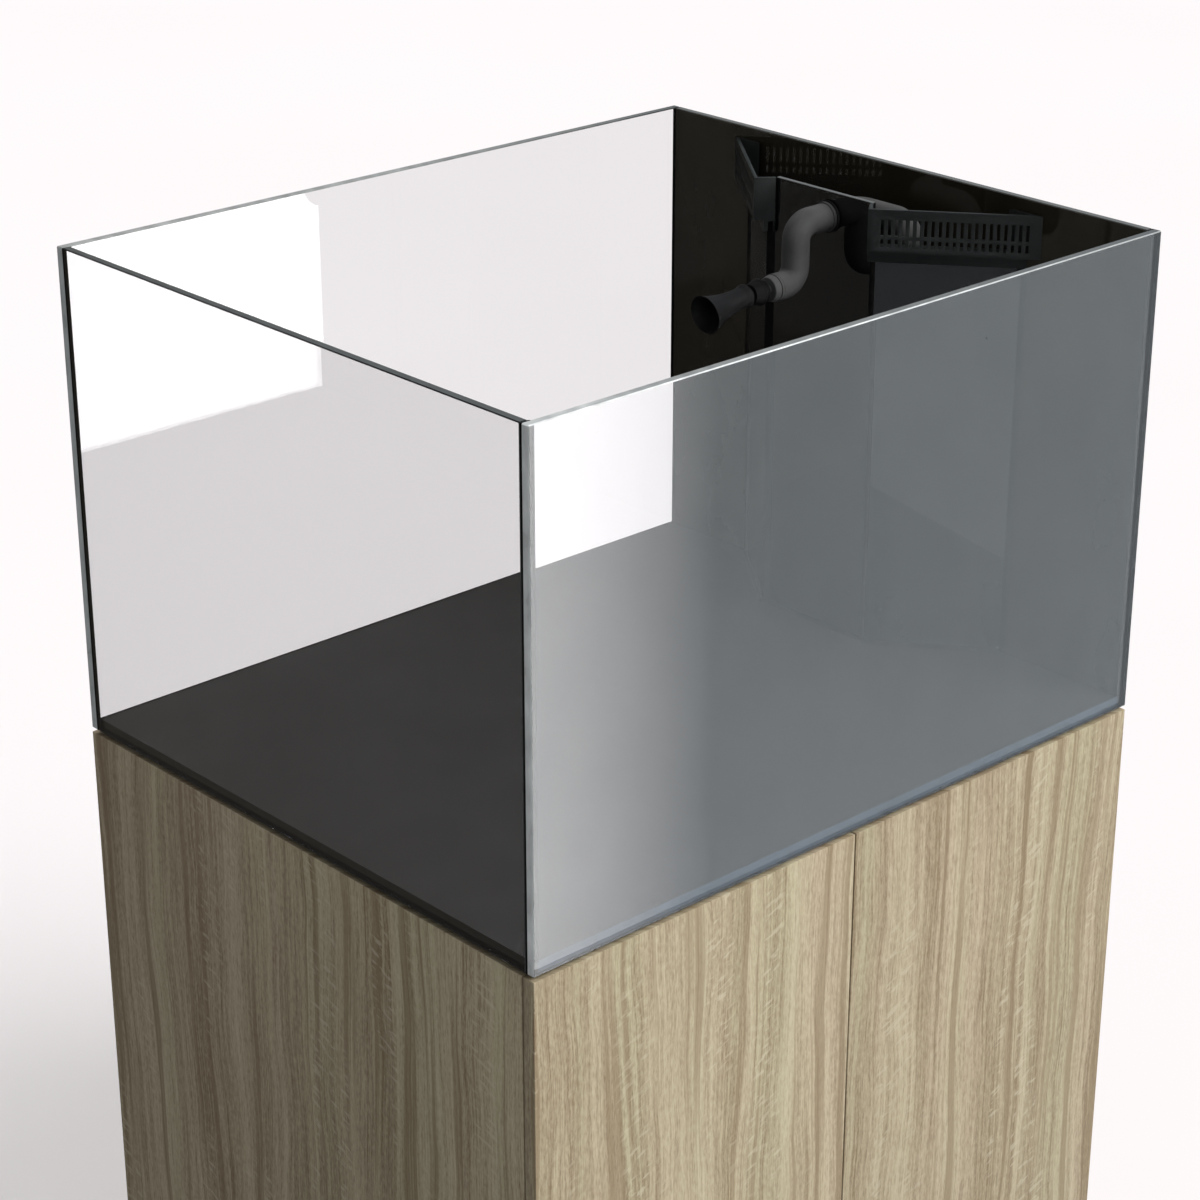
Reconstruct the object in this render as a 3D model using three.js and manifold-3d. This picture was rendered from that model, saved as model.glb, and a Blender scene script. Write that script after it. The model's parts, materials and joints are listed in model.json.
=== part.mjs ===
// A rimless glass aquarium on an oak cabinet: a peninsula tank with a corner-cut overflow weir on one
// end wall, its return and drain plumbing, and the sump that they feed inside the cabinet.
// Millimetres, +Z up. The origin is on the floor under the middle of the object. The doors face -Y
// and the weir stands at the +X end.

import * as THREE from "three";
import { mergeVertices } from "three/addons/utils/BufferGeometryUtils.js";
import Module from "manifold-3d";

const wasm = await Module();
wasm.setup();

// ---------------------------------------------------------------- driving dimensions

const GAP = 0.3; // clearance between neighbouring pieces
const LENGTH = 900; // X, the door side
const WIDTH = 750; // Y
const HALF_L = LENGTH / 2;
const HALF_W = WIDTH / 2;

const TANK_HEIGHT = 560;
const GLASS = 10; // side panes
const FLOOR_GLASS = 12;
const WEIR_GLASS = 6;
const SEAM = 2; // silicone between two panes
const BEAD = 1.5; // silicone fillet in a corner

const CABINET_HEIGHT = 890; // floor to the cabinet's top face
const MAT_THICKNESS = 5;
const MAT_RECESS = 12;
const BOARD = 18; // carcass boards
const DOOR_THICKNESS = 16;
const DOOR_SEAM = 2; // door to carcass, and door to door
const FOOT_HEIGHT = 25; // floor to the underside of the boards

const TANK_Z = CABINET_HEIGHT + MAT_THICKNESS; // underside of the glass
const TANK_FLOOR_Z = TANK_Z + FLOOR_GLASS; // what the sand would lie on
const RIM_Z = TANK_Z + TANK_HEIGHT;
const WALL_X = HALF_L - GLASS; // inner face of the black end pane
const CARCASS_FRONT = -HALF_W + DOOR_THICKNESS + DOOR_SEAM;
const INNER_X = HALF_L - BOARD; // inner face of a cabinet side

// Weir box, laid out about its own centre line
const WEIR_Y = 18; // centre line of the weir
const WEIR_TOP = TANK_Z + 545;
const WEIR_PANEL_X = 342; // tank side of the centre panel
const WEIR_PANEL_HALF = 75;
const COMB_NEAR = [320, -89]; // outboard near corner of a comb, from the weir's centre line
const COMB_ANGLE = THREE.MathUtils.degToRad(51.56); // turn of the wings from the X axis
const COMB_LENGTH = 193;
const COMB_DEPTH = 25;
const COMB_BLADE = 4; // slotted plate
const COMB_BODY_Z = WEIR_TOP - 50; // underside of the slotted plate
const COMB_FOOT_Z = WEIR_TOP - 64; // underside of the clip
const CLIP = [12, COMB_DEPTH]; // clip's place in the comb's depth
const WING = [17.2, 17.2 + WEIR_GLASS]; // wing glass's place in the comb's depth
const WING_TOP = WEIR_TOP - 52.3;
const SLOT_COUNT = 21;
const SLOT_PITCH = 8.04;
const SLOT_WIDTH = 3.6;
const UPPER_SLOT = [WEIR_TOP - 30, WEIR_TOP - 11];
const LOWER_SLOT = [WEIR_TOP - 43, WEIR_TOP - 34];

// Plumbing, 32 mm return and 40 mm drain pipe
const PIPE = { outer: 16, inner: 13.2 };
const DRAIN_PIPE = { outer: 20, inner: 17 };
const PLUMB_X = 388; // both floor fittings stand on this line
const RETURN_Y = -72;
const DRAIN_Y = 80;
const OUTLET_Y = 10; // return outlet through the weir panel
const OUTLET_Z = TANK_Z + 516;
const OUTLET_BEND = 20;
const DROP_X = 290; // vertical run of the outlet pipe
const NOZZLE_Z = TANK_Z + 449;
const BALL = { x: 232, radius: 10.5 }; // pan ball, inside the nozzle socket
const NECK = { x: 209, radius: 9 }; // tilt ball, inside the nozzle's throat
const BALL_PLAY = 0.6; // clearance round a ball
const NOZZLE_TILT = THREE.MathUtils.degToRad(8);

// Cabinet fittings
const HINGE_Z = [135, 780];
const CUP_X = HALF_L - 22.5;
const CUP_RADIUS = 17.3;
const LATCH_X = 24;
const FOOT_AT = { x: 400, front: -315, rear: 335 };

// Sump and pump
const SUMP = { x: [-140, 420], y: [-190, 190], height: 360, glass: 8 };
const SUMP_Z = FOOT_HEIGHT + BOARD + GAP;
const BAFFLES = [
  { name: "sump_inlet_baffle", x: 232, height: 260 },
  { name: "sump_return_baffle", x: 44, height: 220 },
];
const PUMP = { x: -10, z: SUMP_Z + SUMP.glass + 56, radius: 42 }; // x is the volute's front face

// ---------------------------------------------------------------- materials

const finish = (color, roughness, metalness = 0, extra = {}) =>
  new THREE.MeshStandardMaterial({ color, roughness, metalness, ...extra });

const CLEAR_GLASS = finish(0xdfe9e6, 0.03, 0, { transparent: true, opacity: 0.25 });
const BLACK_GLASS = finish(0x101010, 0.05);
const SUMP_GLASS = finish(0xcfe0da, 0.05, 0, { transparent: true, opacity: 0.35 });
const SILICONE = finish(0x161616, 0.5);
const FOAM = finish(0x1d1d1e, 0.95);
const BLACK_PLASTIC = finish(0x2b2e2f, 0.4);
const GREY_PVC = finish(0x6f7070, 0.4);
const RED_PLASTIC = finish(0xa02a20, 0.4);
const OAK = finish(0xc6bb98, 0.6);
const NICKEL = finish(0xb9bbbd, 0.3, 1);

// ---------------------------------------------------------------- solids

const SIDES = 16; // sides of a plain round piece
const FINE_SIDES = 24; // sides of a round piece in open view
const PIPE_PLAY = 0.6; // clearance of a pipe in its socket

// The mesh of a closed geometry, with only its shared corner positions.
function solidOf(geometry) {
  const bare = geometry.clone();
  bare.deleteAttribute("normal");
  bare.deleteAttribute("uv");
  const merged = mergeVertices(bare, 1e-3);
  return new wasm.Manifold(
    new wasm.Mesh({
      numProp: 3,
      vertProperties: merged.attributes.position.array,
      triVerts: new Uint32Array(merged.index.array),
    }),
  );
}

function geometryOf(solid) {
  const { vertProperties, triVerts } = solid.getMesh();
  const geometry = new THREE.BufferGeometry();
  geometry.setAttribute("position", new THREE.BufferAttribute(vertProperties, 3));
  geometry.setIndex(new THREE.BufferAttribute(triVerts, 1));
  return geometry;
}

const join = (...parts) => geometryOf(parts.map(solidOf).reduce((a, b) => a.add(b)));

const cut = (body, ...tools) =>
  geometryOf(tools.map(solidOf).reduce((rest, tool) => rest.subtract(tool), solidOf(body)));

// A box from its ranges along X, Y and Z.
function block([x0, x1], [y0, y1], [z0, z1]) {
  return new THREE.BoxGeometry(x1 - x0, y1 - y0, z1 - z0).translate(
    (x0 + x1) / 2,
    (y0 + y1) / 2,
    (z0 + z1) / 2,
  );
}

// A plan outline, [x, y] points, raised from one height to another.
function prism(outline, [z0, z1]) {
  const shape = new THREE.Shape(outline.map(([x, y]) => new THREE.Vector2(x, y)));
  return new THREE.ExtrudeGeometry(shape, { depth: z1 - z0, bevelEnabled: false }).translate(0, 0, z0);
}

// A profile of [radius, height] points turned about Z, or about X or Y once aimed.
function turned(profile, segments = SIDES) {
  const points = profile.map(([radius, height]) => new THREE.Vector2(radius, height));
  return new THREE.LatheGeometry(points, segments).rotateX(Math.PI / 2);
}

const aimX = (geometry) => geometry.rotateY(Math.PI / 2);
const aimY = (geometry) => geometry.rotateX(-Math.PI / 2);

const sphere = (radius, z = 0) => new THREE.SphereGeometry(radius, 24, 12).translate(0, 0, z);

// A plain rod or disc about Z.
const rod = (radius, [z0, z1], segments = SIDES) =>
  turned([[0, z0], [radius, z0], [radius, z1], [0, z1]], segments);

// A ring or straight tube about Z.
const ring = (outer, inner, [z0, z1], segments = SIDES) =>
  turned([[inner, z0], [outer, z0], [outer, z1], [inner, z1], [inner, z0]], segments);

// A hexagon about Z, such as a nut's outside.
const hexagon = (acrossCorners, range) => rod(acrossCorners / 2, range, 6);

const BEND_STEPS = 6;

// A path through corner points whose corners are rounded, with its stations only where it bends.
class BentPath extends THREE.Curve {
  constructor(corners, radius) {
    super();
    this.stations = [corners[0]];
    for (let i = 1; i < corners.length - 1; i++) {
      const into = corners[i].clone().sub(corners[i - 1]).normalize();
      const out = corners[i + 1].clone().sub(corners[i]).normalize();
      const reach = radius * Math.tan(into.angleTo(out) / 2);
      const start = corners[i].clone().addScaledVector(into, -reach);
      const centre = start.clone().addScaledVector(out.clone().projectOnPlane(into).normalize(), radius);
      const axis = new THREE.Vector3().crossVectors(into, out).normalize();
      for (let k = 0; k <= BEND_STEPS; k++) {
        const arm = start.clone().sub(centre).applyAxisAngle(axis, (into.angleTo(out) * k) / BEND_STEPS);
        this.stations.push(centre.clone().add(arm));
      }
    }
    this.stations.push(corners[corners.length - 1]);
    this.steps = this.stations.length - 1;
  }

  getUtoTmapping(u) {
    return u;
  }

  getPoint(t) {
    const place = THREE.MathUtils.clamp(t * this.steps, 0, this.steps);
    const index = Math.min(Math.floor(place), this.steps - 1);
    return this.stations[index].clone().lerp(this.stations[index + 1], place - index);
  }
}

// A pipe of round section along a bent route.
function bentPipe(corners, bendRadius, { outer, inner }, sides = SIDES - 4) {
  const path = new BentPath(corners.map((corner) => new THREE.Vector3(...corner)), bendRadius);
  const section = new THREE.Shape().absarc(0, 0, outer, 0, 2 * Math.PI);
  section.holes.push(new THREE.Path().absarc(0, 0, inner, 0, 2 * Math.PI, true));
  return new THREE.ExtrudeGeometry(section, {
    steps: path.steps,
    extrudePath: path,
    curveSegments: sides / 2,
    bevelEnabled: false,
  });
}

// ---------------------------------------------------------------- scene graph

const aquarium = new THREE.Group();

function add(name, geometry, material, parent = aquarium) {
  const mesh = new THREE.Mesh(geometry, material);
  mesh.name = name;
  parent.add(mesh);
  return mesh;
}

// ---------------------------------------------------------------- tank

function addTankPanes() {
  const height = [TANK_Z, RIM_Z];
  const inset = HALF_W - GLASS - SEAM; // end panes stand between the two long panes
  add("tank_front_pane", block([-HALF_L, HALF_L], [-HALF_W, -HALF_W + GLASS], height), CLEAR_GLASS);
  add("tank_rear_pane", block([-HALF_L, HALF_L], [HALF_W - GLASS, HALF_W], height), CLEAR_GLASS);
  add("tank_left_end_pane", block([-HALF_L, -WALL_X], [-inset, inset], height), CLEAR_GLASS);
  add("tank_black_end_pane", block([WALL_X, HALF_L], [-inset, inset], height), BLACK_GLASS);
}

function addTankFloor() {
  const edge = SEAM / 2;
  const plate = block(
    [-WALL_X + edge, WALL_X - edge],
    [-HALF_W + GLASS + edge, HALF_W - GLASS - edge],
    [TANK_Z, TANK_FLOOR_Z],
  );
  const through = [TANK_Z - 1, TANK_FLOOR_Z + 1];
  const holes = [
    rod(20, through).translate(PLUMB_X, RETURN_Y, 0),
    rod(20.5, through).translate(PLUMB_X, DRAIN_Y, 0),
  ];
  add("tank_floor_pane", cut(plate, ...holes), BLACK_GLASS);
}

// Silicone between a long pane and an end pane, with its fillet inside the corner.
function addCornerSeals() {
  const x = WALL_X - GAP;
  const y = HALF_W - GLASS - GAP;
  const seam = y - SEAM + 2 * GAP;
  for (const [side, sx] of [["left", -1], ["right", 1]]) {
    for (const [end, sy] of [["front", -1], ["rear", 1]]) {
      const outline = [[HALF_L, y], [x - BEAD, y], [x, y - BEAD], [x, seam], [HALF_L, seam]];
      const corner = outline.map(([px, py]) => [px * sx, py * sy]);
      if (sx * sy > 0) corner.reverse();
      add(`corner_seal_${end}_${side}`, prism(corner, [TANK_FLOOR_Z + GAP, RIM_Z]), SILICONE);
    }
  }
}

const PLUMBING_CUTOUT = [[350, 424], [-105, 120]];

function addLevellingMat() {
  const mat = block(
    [-HALF_L + MAT_RECESS, HALF_L - MAT_RECESS],
    [-HALF_W + MAT_RECESS, HALF_W - MAT_RECESS],
    [CABINET_HEIGHT, TANK_Z],
  );
  const opening = block(...PLUMBING_CUTOUT, [CABINET_HEIGHT - 1, TANK_Z + 1]);
  add("levelling_mat", cut(mat, opening), FOAM);
}

// ---------------------------------------------------------------- weir box

// A point of the front wing's plan: s runs along the wing to the wall, u is the depth into the weir.
function wingPoint(s, u) {
  const [cos, sin] = [Math.cos(COMB_ANGLE), Math.sin(COMB_ANGLE)];
  return [COMB_NEAR[0] + s * cos + u * sin, COMB_NEAR[1] - s * sin + u * cos];
}

// The length at which a line at depth u meets the end wall.
const wallReach = (u) =>
  (WALL_X - GAP - COMB_NEAR[0] - u * Math.sin(COMB_ANGLE)) / Math.cos(COMB_ANGLE);

// A slab of the wing's plan between two depths, from s0 to s1 or to the wall.
function wingSlab([u0, u1], range, s0 = 0, s1 = null) {
  const far = (u) => (s1 === null ? wallReach(u) : Math.min(s1, wallReach(u)));
  const outline = [wingPoint(s0, u0), wingPoint(far(u0), u0), wingPoint(far(u1), u1), wingPoint(s0, u1)];
  return prism(outline, range);
}

function combGeometry() {
  const end = COMB_BLADE;
  const body = [COMB_BODY_Z, WEIR_TOP];
  const shelf = [COMB_BODY_Z, COMB_BODY_Z + 4];
  const nearFaceReach = wallReach(COMB_DEPTH);
  const farPlate = prism(
    [
      wingPoint(wallReach(0) - end / Math.cos(COMB_ANGLE), 0),
      wingPoint(wallReach(0), 0),
      wingPoint(nearFaceReach, COMB_DEPTH),
      wingPoint(nearFaceReach - end / Math.cos(COMB_ANGLE), COMB_DEPTH),
    ],
    body,
  );
  const comb = join(
    wingSlab([0, COMB_BLADE], body),
    wingSlab([0, COMB_DEPTH], shelf),
    wingSlab(CLIP, [COMB_FOOT_Z, shelf[1]]),
    wingSlab([0, COMB_DEPTH], body, 0, end),
    farPlate,
  );
  const groove = wingSlab([WING[0] - GAP, WING[1] + GAP], [COMB_FOOT_Z - 1, WING_TOP + GAP], -1);
  const groovePast = wingSlab([WING[0] - GAP, WING[1] + GAP], [COMB_FOOT_Z - 1, WING_TOP + GAP], 150, 250);
  const slots = [];
  const first = COMB_LENGTH / 2 - (SLOT_PITCH * (SLOT_COUNT - 1)) / 2;
  for (let i = 0; i < SLOT_COUNT; i++) {
    const s = first + i * SLOT_PITCH;
    for (const range of [UPPER_SLOT, LOWER_SLOT]) {
      slots.push(wingSlab([-1, COMB_BLADE + 1], range, s - SLOT_WIDTH / 2, s + SLOT_WIDTH / 2));
    }
  }
  return cut(comb, groove, groovePast, ...slots);
}

function addWeir() {
  const weir = new THREE.Group();
  weir.position.y = WEIR_Y;
  aquarium.add(weir);
  const height = [TANK_FLOOR_Z + GAP, WEIR_TOP];
  const hole = aimX(rod(14, [WEIR_PANEL_X - 1, WEIR_PANEL_X + WEIR_GLASS + 1])).translate(
    0,
    OUTLET_Y - WEIR_Y,
    OUTLET_Z,
  );
  const panel = block(
    [WEIR_PANEL_X, WEIR_PANEL_X + WEIR_GLASS],
    [-WEIR_PANEL_HALF, WEIR_PANEL_HALF],
    height,
  );
  add("weir_centre_panel", cut(panel, hole), BLACK_GLASS, weir);
  const wing = wingSlab(WING, [height[0], WING_TOP], 8);
  const comb = combGeometry();
  for (const [side, mirror] of [["front", 1], ["rear", -1]]) {
    add(`weir_${side}_wing`, wing, BLACK_GLASS, weir).scale.y = mirror;
    add(`weir_${side}_comb`, comb, BLACK_PLASTIC, weir).scale.y = mirror;
  }
}

// ---------------------------------------------------------------- return outlet

function addOutletBulkhead() {
  const inside = WEIR_PANEL_X + WEIR_GLASS;
  const profile = [
    [10, WEIR_PANEL_X - 15],
    [12.2, WEIR_PANEL_X - 15],
    [12.2, WEIR_PANEL_X - 3],
    [19, WEIR_PANEL_X - 3],
    [19, WEIR_PANEL_X - GAP],
    [12.2, WEIR_PANEL_X - GAP],
    [12.2, inside + 15],
    [10, inside + 15],
    [10, WEIR_PANEL_X - 15],
  ];
  add("outlet_bulkhead", aimX(turned(profile, FINE_SIDES)).translate(0, OUTLET_Y, OUTLET_Z), BLACK_PLASTIC);
  const nutRange = [inside + GAP, inside + 9];
  const nut = cut(hexagon(42, nutRange), rod(13.3, [inside - 1, inside + 20]));
  add("outlet_bulkhead_nut", aimX(nut).translate(0, OUTLET_Y, OUTLET_Z), BLACK_PLASTIC);
}

function addOutletPipe() {
  const flange = WEIR_PANEL_X - 3 - GAP;
  const collar = [flange - 4, flange];
  const end = BALL.x + 26; // mouth of the lower bend
  const pipe = bentPipe(
    [
      [flange, OUTLET_Y, OUTLET_Z],
      [DROP_X, OUTLET_Y, OUTLET_Z],
      [DROP_X, OUTLET_Y, NOZZLE_Z],
      [end, OUTLET_Y, NOZZLE_Z],
    ],
    OUTLET_BEND,
    PIPE,
    20,
  );
  const rim = aimX(ring(17.5, PIPE.inner, collar, FINE_SIDES)).translate(0, OUTLET_Y, OUTLET_Z);
  add("outlet_pipe", join(pipe, rim), GREY_PVC);
}

// The threaded ring on the end of the outlet pipe, which carries the pan ball.
function addOutletRing() {
  const end = BALL.x + 26 - GAP;
  const cover = [end - 12, end];
  const tail = [end, end + 10];
  const profile = [
    [5, BALL.x],
    [6.5, BALL.x],
    [6.5, cover[0]],
    [13.5, cover[0]],
    [PIPE.outer, cover[0] + 8],
    [PIPE.outer, cover[1]],
    [PIPE.inner - GAP, tail[0]],
    [PIPE.inner - GAP, tail[1]],
    [5, tail[1]],
    [5, BALL.x],
  ];
  const ball = sphere(BALL.radius, BALL.x);
  const bore = rod(5, [BALL.x - 20, BALL.x + 60]);
  const body = cut(join(turned(profile, FINE_SIDES), ball), bore);
  add("outlet_ring", aimX(body).translate(0, OUTLET_Y, NOZZLE_Z), GREY_PVC);
}

// The black skirt that grips the pan ball and ends in the tilt ball.
function addNozzleSocket() {
  const skirtProfile = [
    [0, BALL.x - 14],
    [11.2, BALL.x - 14],
    [15.6, BALL.x - 2.5],
    [15.6, BALL.x - 1],
    [12.7, BALL.x - 1],
    [12.7, BALL.x + 7],
    [0, BALL.x + 7],
  ];
  const skirt = turned(skirtProfile, FINE_SIDES);
  const neck = rod(7.5, [NECK.x, BALL.x - 13]);
  const tiltBall = sphere(NECK.radius, NECK.x);
  const cavity = sphere(BALL.radius + BALL_PLAY, BALL.x);
  const mouth = rod(9, [BALL.x + 4, BALL.x + 20]);
  const bore = rod(5, [NECK.x - 20, BALL.x]);
  const body = cut(join(skirt, neck, tiltBall), cavity, mouth, bore);
  add("nozzle_socket", aimX(body).translate(0, OUTLET_Y, NOZZLE_Z), BLACK_PLASTIC);
}

// The trumpet nozzle, drawn about Z from its tilt ball, then aimed into the tank and dipped.
function addNozzle() {
  const length = 62;
  const flare = (t) => 12.3 + 10.4 * t ** 2.2;
  const steps = 7;
  const outside = [];
  const inside = [];
  for (let i = 0; i <= steps; i++) {
    const t = i / steps;
    outside.push([flare(t), 6 + (length - 6) * t]);
    inside.unshift([flare(t) - 1.8, 6 + (length - 6) * t]);
  }
  const profile = [[9.7, -4], [11, -4], [14, -2], [13.8, 1], ...outside, ...inside];
  profile.push(profile[0]);
  const cup = ring(11, 5.5, [-4, 9], FINE_SIDES);
  const ballRoom = sphere(NECK.radius + BALL_PLAY);
  const body = cut(join(turned(profile, FINE_SIDES), cup), ballRoom);
  const nozzle = add("return_nozzle", body, BLACK_PLASTIC);
  nozzle.position.set(NECK.x, OUTLET_Y, NOZZLE_Z);
  nozzle.rotation.y = -Math.PI / 2 - NOZZLE_TILT;
}

// ---------------------------------------------------------------- drain and return through the tank floor

// A bulkhead fitting through the tank floor, with a pipe socket above and below.
function floorBulkhead({ flange, barrel, bore, socket }) {
  const seat = TANK_FLOOR_Z + GAP;
  const foot = TANK_Z - 45;
  return turned([
    [bore, seat + 5],
    [socket, seat + 5],
    [socket, seat + 16],
    [socket + 4, seat + 16],
    [socket + 4, seat + 5],
    [flange, seat + 4],
    [flange, seat],
    [barrel, seat],
    [barrel, foot],
    [socket, foot],
    [socket, foot + 18],
    [bore, foot + 18],
    [bore, seat + 5],
  ].toReversed());
}

function addFloorFittings() {
  const sizes = [
    ["return", RETURN_Y, { flange: 25, barrel: 19.6, bore: PIPE.inner, socket: PIPE.outer + PIPE_PLAY }, 54],
    ["drain", DRAIN_Y, { flange: 30, barrel: 20.2, bore: 15, socket: 16 }, 66],
  ];
  for (const [name, y, size, nutSize] of sizes) {
    add(`${name}_bulkhead`, floorBulkhead(size).translate(PLUMB_X, y, 0), BLACK_PLASTIC);
    const range = [TANK_Z - 14, TANK_Z - GAP];
    const nut = cut(hexagon(nutSize, range), rod(size.barrel + GAP, [range[0] - 1, range[1] + 1]));
    add(`${name}_bulkhead_nut`, nut.translate(PLUMB_X, y, 0), BLACK_PLASTIC);
  }
}

// From the floor fitting up, over and into the back of the outlet bulkhead.
function addReturnRiser() {
  const corners = [
    [PLUMB_X, RETURN_Y, TANK_FLOOR_Z + 6],
    [PLUMB_X, RETURN_Y, OUTLET_Z],
    [PLUMB_X, OUTLET_Y, OUTLET_Z],
    [WEIR_PANEL_X + WEIR_GLASS + 10, OUTLET_Y, OUTLET_Z],
  ];
  add("return_riser", bentPipe(corners, OUTLET_BEND, PIPE), GREY_PVC);
}

function addStandpipe() {
  const top = TANK_Z + 430;
  const foot = TANK_FLOOR_Z + 17;
  // The foot is turned down to enter the fitting's socket.
  const profile = [
    [13, foot - 11],
    [16 - PIPE_PLAY, foot - 11],
    [16 - PIPE_PLAY, foot],
    [DRAIN_PIPE.outer, foot],
    [DRAIN_PIPE.outer, top],
    [DRAIN_PIPE.inner, top],
    [13, foot],
    [13, foot - 11],
  ];
  add("drain_standpipe", turned(profile).translate(PLUMB_X, DRAIN_Y, 0), GREY_PVC);

  const cap = [top - 14, top + 42];
  const outside = rod(DRAIN_PIPE.outer + 3.4, cap);
  const inside = rod(DRAIN_PIPE.outer + PIPE_PLAY, [cap[0] - 1, cap[1] - 3]);
  const slots = [];
  const slotPairs = 6;
  for (let i = 0; i < slotPairs; i++) {
    slots.push(block([-30, 30], [-2, 2], [top + 4, top + 34]).rotateZ((i * Math.PI) / slotPairs));
  }
  const strainer = cut(outside, inside, ...slots);
  add("drain_strainer", strainer.translate(PLUMB_X, DRAIN_Y, 0), BLACK_PLASTIC);
}

// Quarter-turn valve under the drain fitting; its lever turns about Y.
const VALVE_Z = TANK_Z - 90;

function addDrainValve() {
  const [top, foot] = [VALVE_Z + 50, VALVE_Z - 50];
  const profile = [
    [0, foot],
    [27, foot],
    [27, VALVE_Z - 24],
    [31, VALVE_Z - 15],
    [31, VALVE_Z + 15],
    [27, VALVE_Z + 24],
    [27, top],
    [0, top],
  ];
  const boss = aimY(rod(12, [-44, 0])).translate(0, 0, VALVE_Z);
  const valve = cut(
    join(turned(profile), boss),
    rod(15, [foot - 1, top + 1]),
    rod(21, [top - 7, top + 1]),
    rod(DRAIN_PIPE.outer + PIPE_PLAY, [foot - 1, foot + 20]),
    aimY(rod(5.3, [-50, -25])).translate(0, 0, VALVE_Z),
  );
  add("drain_valve", valve.translate(PLUMB_X, DRAIN_Y, 0), GREY_PVC);

  const hub = rod(14, [-58, -44 - GAP]);
  const stem = rod(5, [-50, -26]);
  const lever = block([-38, 38], [-6, 6], [-58, -49]);
  const handle = add("drain_valve_handle", aimY(join(hub, stem, lever)), RED_PLASTIC);
  handle.position.set(PLUMB_X, DRAIN_Y, VALVE_Z);
}

function addDownpipes() {
  const drain = ring(DRAIN_PIPE.outer, DRAIN_PIPE.inner, [250, VALVE_Z - 31]);
  add("drain_downpipe", drain.translate(PLUMB_X, DRAIN_Y, 0), GREY_PVC);
  const acrossZ = 600;
  const corners = [
    [PUMP.x - 14, RETURN_Y, PUMP.z + PUMP.radius + 8],
    [PUMP.x - 14, RETURN_Y, acrossZ],
    [PLUMB_X, RETURN_Y, acrossZ],
    [PLUMB_X, RETURN_Y, TANK_Z - 28],
  ];
  add("return_feed_pipe", bentPipe(corners, 36, PIPE), GREY_PVC);
}

// ---------------------------------------------------------------- cabinet

function addCarcass() {
  const depth = [CARCASS_FRONT, HALF_W];
  const height = [FOOT_HEIGHT, CABINET_HEIGHT];
  const between = [-INNER_X + GAP, INNER_X - GAP];
  const inFront = [CARCASS_FRONT, HALF_W - BOARD - GAP];
  add("cabinet_left_side", block([-HALF_L, -INNER_X], depth, height), OAK);
  add("cabinet_right_side", block([INNER_X, HALF_L], depth, height), OAK);
  add("cabinet_back", block(between, [HALF_W - BOARD, HALF_W], height), OAK);

  const topBoard = block(between, inFront, [CABINET_HEIGHT - BOARD, CABINET_HEIGHT - GAP]);
  const opening = block(...PLUMBING_CUTOUT, [CABINET_HEIGHT - BOARD - 1, CABINET_HEIGHT + 1]);
  add("cabinet_top", cut(topBoard, opening), OAK);

  const floorBoard = block(between, inFront, [FOOT_HEIGHT, FOOT_HEIGHT + BOARD]);
  const stemHoles = footPlaces().map(({ x, y }) =>
    rod(5.4, [FOOT_HEIGHT - 1, FOOT_HEIGHT + BOARD + 1]).translate(x, y, 0),
  );
  add("cabinet_floor", cut(floorBoard, ...stemHoles), OAK);
}

function footPlaces() {
  const places = [];
  for (const [side, x] of [["left", -FOOT_AT.x], ["right", FOOT_AT.x]]) {
    for (const [end, y] of [["front", FOOT_AT.front], ["rear", FOOT_AT.rear]]) {
      places.push({ name: `levelling_foot_${end}_${side}`, x, y });
    }
  }
  return places;
}

// A swivelling pad and its screw in one piece, with a driver slot in the screw's top.
function addFeet() {
  const screwTop = FOOT_HEIGHT + BOARD + 10;
  const profile = [
    [0, 0],
    [23, 0],
    [24, 1.5],
    [24, 6],
    [11, 13],
    [11, FOOT_HEIGHT - GAP],
    [5, FOOT_HEIGHT - GAP],
    [5, screwTop],
    [0, screwTop],
  ];
  const driverSlot = block([-6, 6], [-0.8, 0.8], [screwTop - 3, screwTop + 1]);
  const foot = cut(turned(profile), driverSlot);
  for (const { name, x, y } of footPlaces()) add(name, foot, BLACK_PLASTIC).position.set(x, y, 0);
}

// A door with its hinges and its push latch, drawn at the right-hand side and mirrored for the left.
function addDoorSide(side, mirror) {
  const half = new THREE.Group();
  half.scale.x = mirror;
  aquarium.add(half);
  const doorBack = -HALF_W + DOOR_THICKNESS;
  const board = block([DOOR_SEAM / 2, HALF_L], [-HALF_W, doorBack], [FOOT_HEIGHT, CABINET_HEIGHT]);
  const recesses = HINGE_Z.map((z) =>
    aimY(rod(CUP_RADIUS + GAP, [doorBack - 12, doorBack + 1])).translate(CUP_X, 0, z),
  );
  add(`door_${side}`, cut(board, ...recesses), OAK, half);
  HINGE_Z.forEach((z, i) => {
    const level = ["lower", "upper"][i];
    add(`hinge_cup_${level}_${side}`, hingeCup(doorBack), NICKEL, half).position.z = z;
    add(`hinge_arm_${level}_${side}`, hingeArm(), NICKEL, half).position.z = z;
  });
  addLatch(side, half, doorBack);
}

function hingeCup(doorBack) {
  const shell = turned([[0, -11.7], [CUP_RADIUS, -11.7], [CUP_RADIUS, 0.6], [0, 0.6]]);
  const flange = block([-11, 11], [-29, 29], [0.3, 1.2]);
  const hollow = rod(CUP_RADIUS - 1.2, [-10.7, 2]);
  const knuckle = block([-9, 4], [-7, 7], [-11, -2]);
  const body = join(cut(join(shell, flange), hollow), knuckle);
  return aimY(body).translate(CUP_X, doorBack, 0);
}

// Mounting plate on the cabinet side with the arm that reaches forward over it.
function hingeArm() {
  const face = INNER_X - GAP;
  const front = CARCASS_FRONT + GAP;
  const plate = block([face - 4, face], [front + 18, front + 62], [-24, 24]);
  const arm = block([face - 13, face - 3], [front, front + 66], [-8, 8]);
  return join(plate, arm);
}

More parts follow.
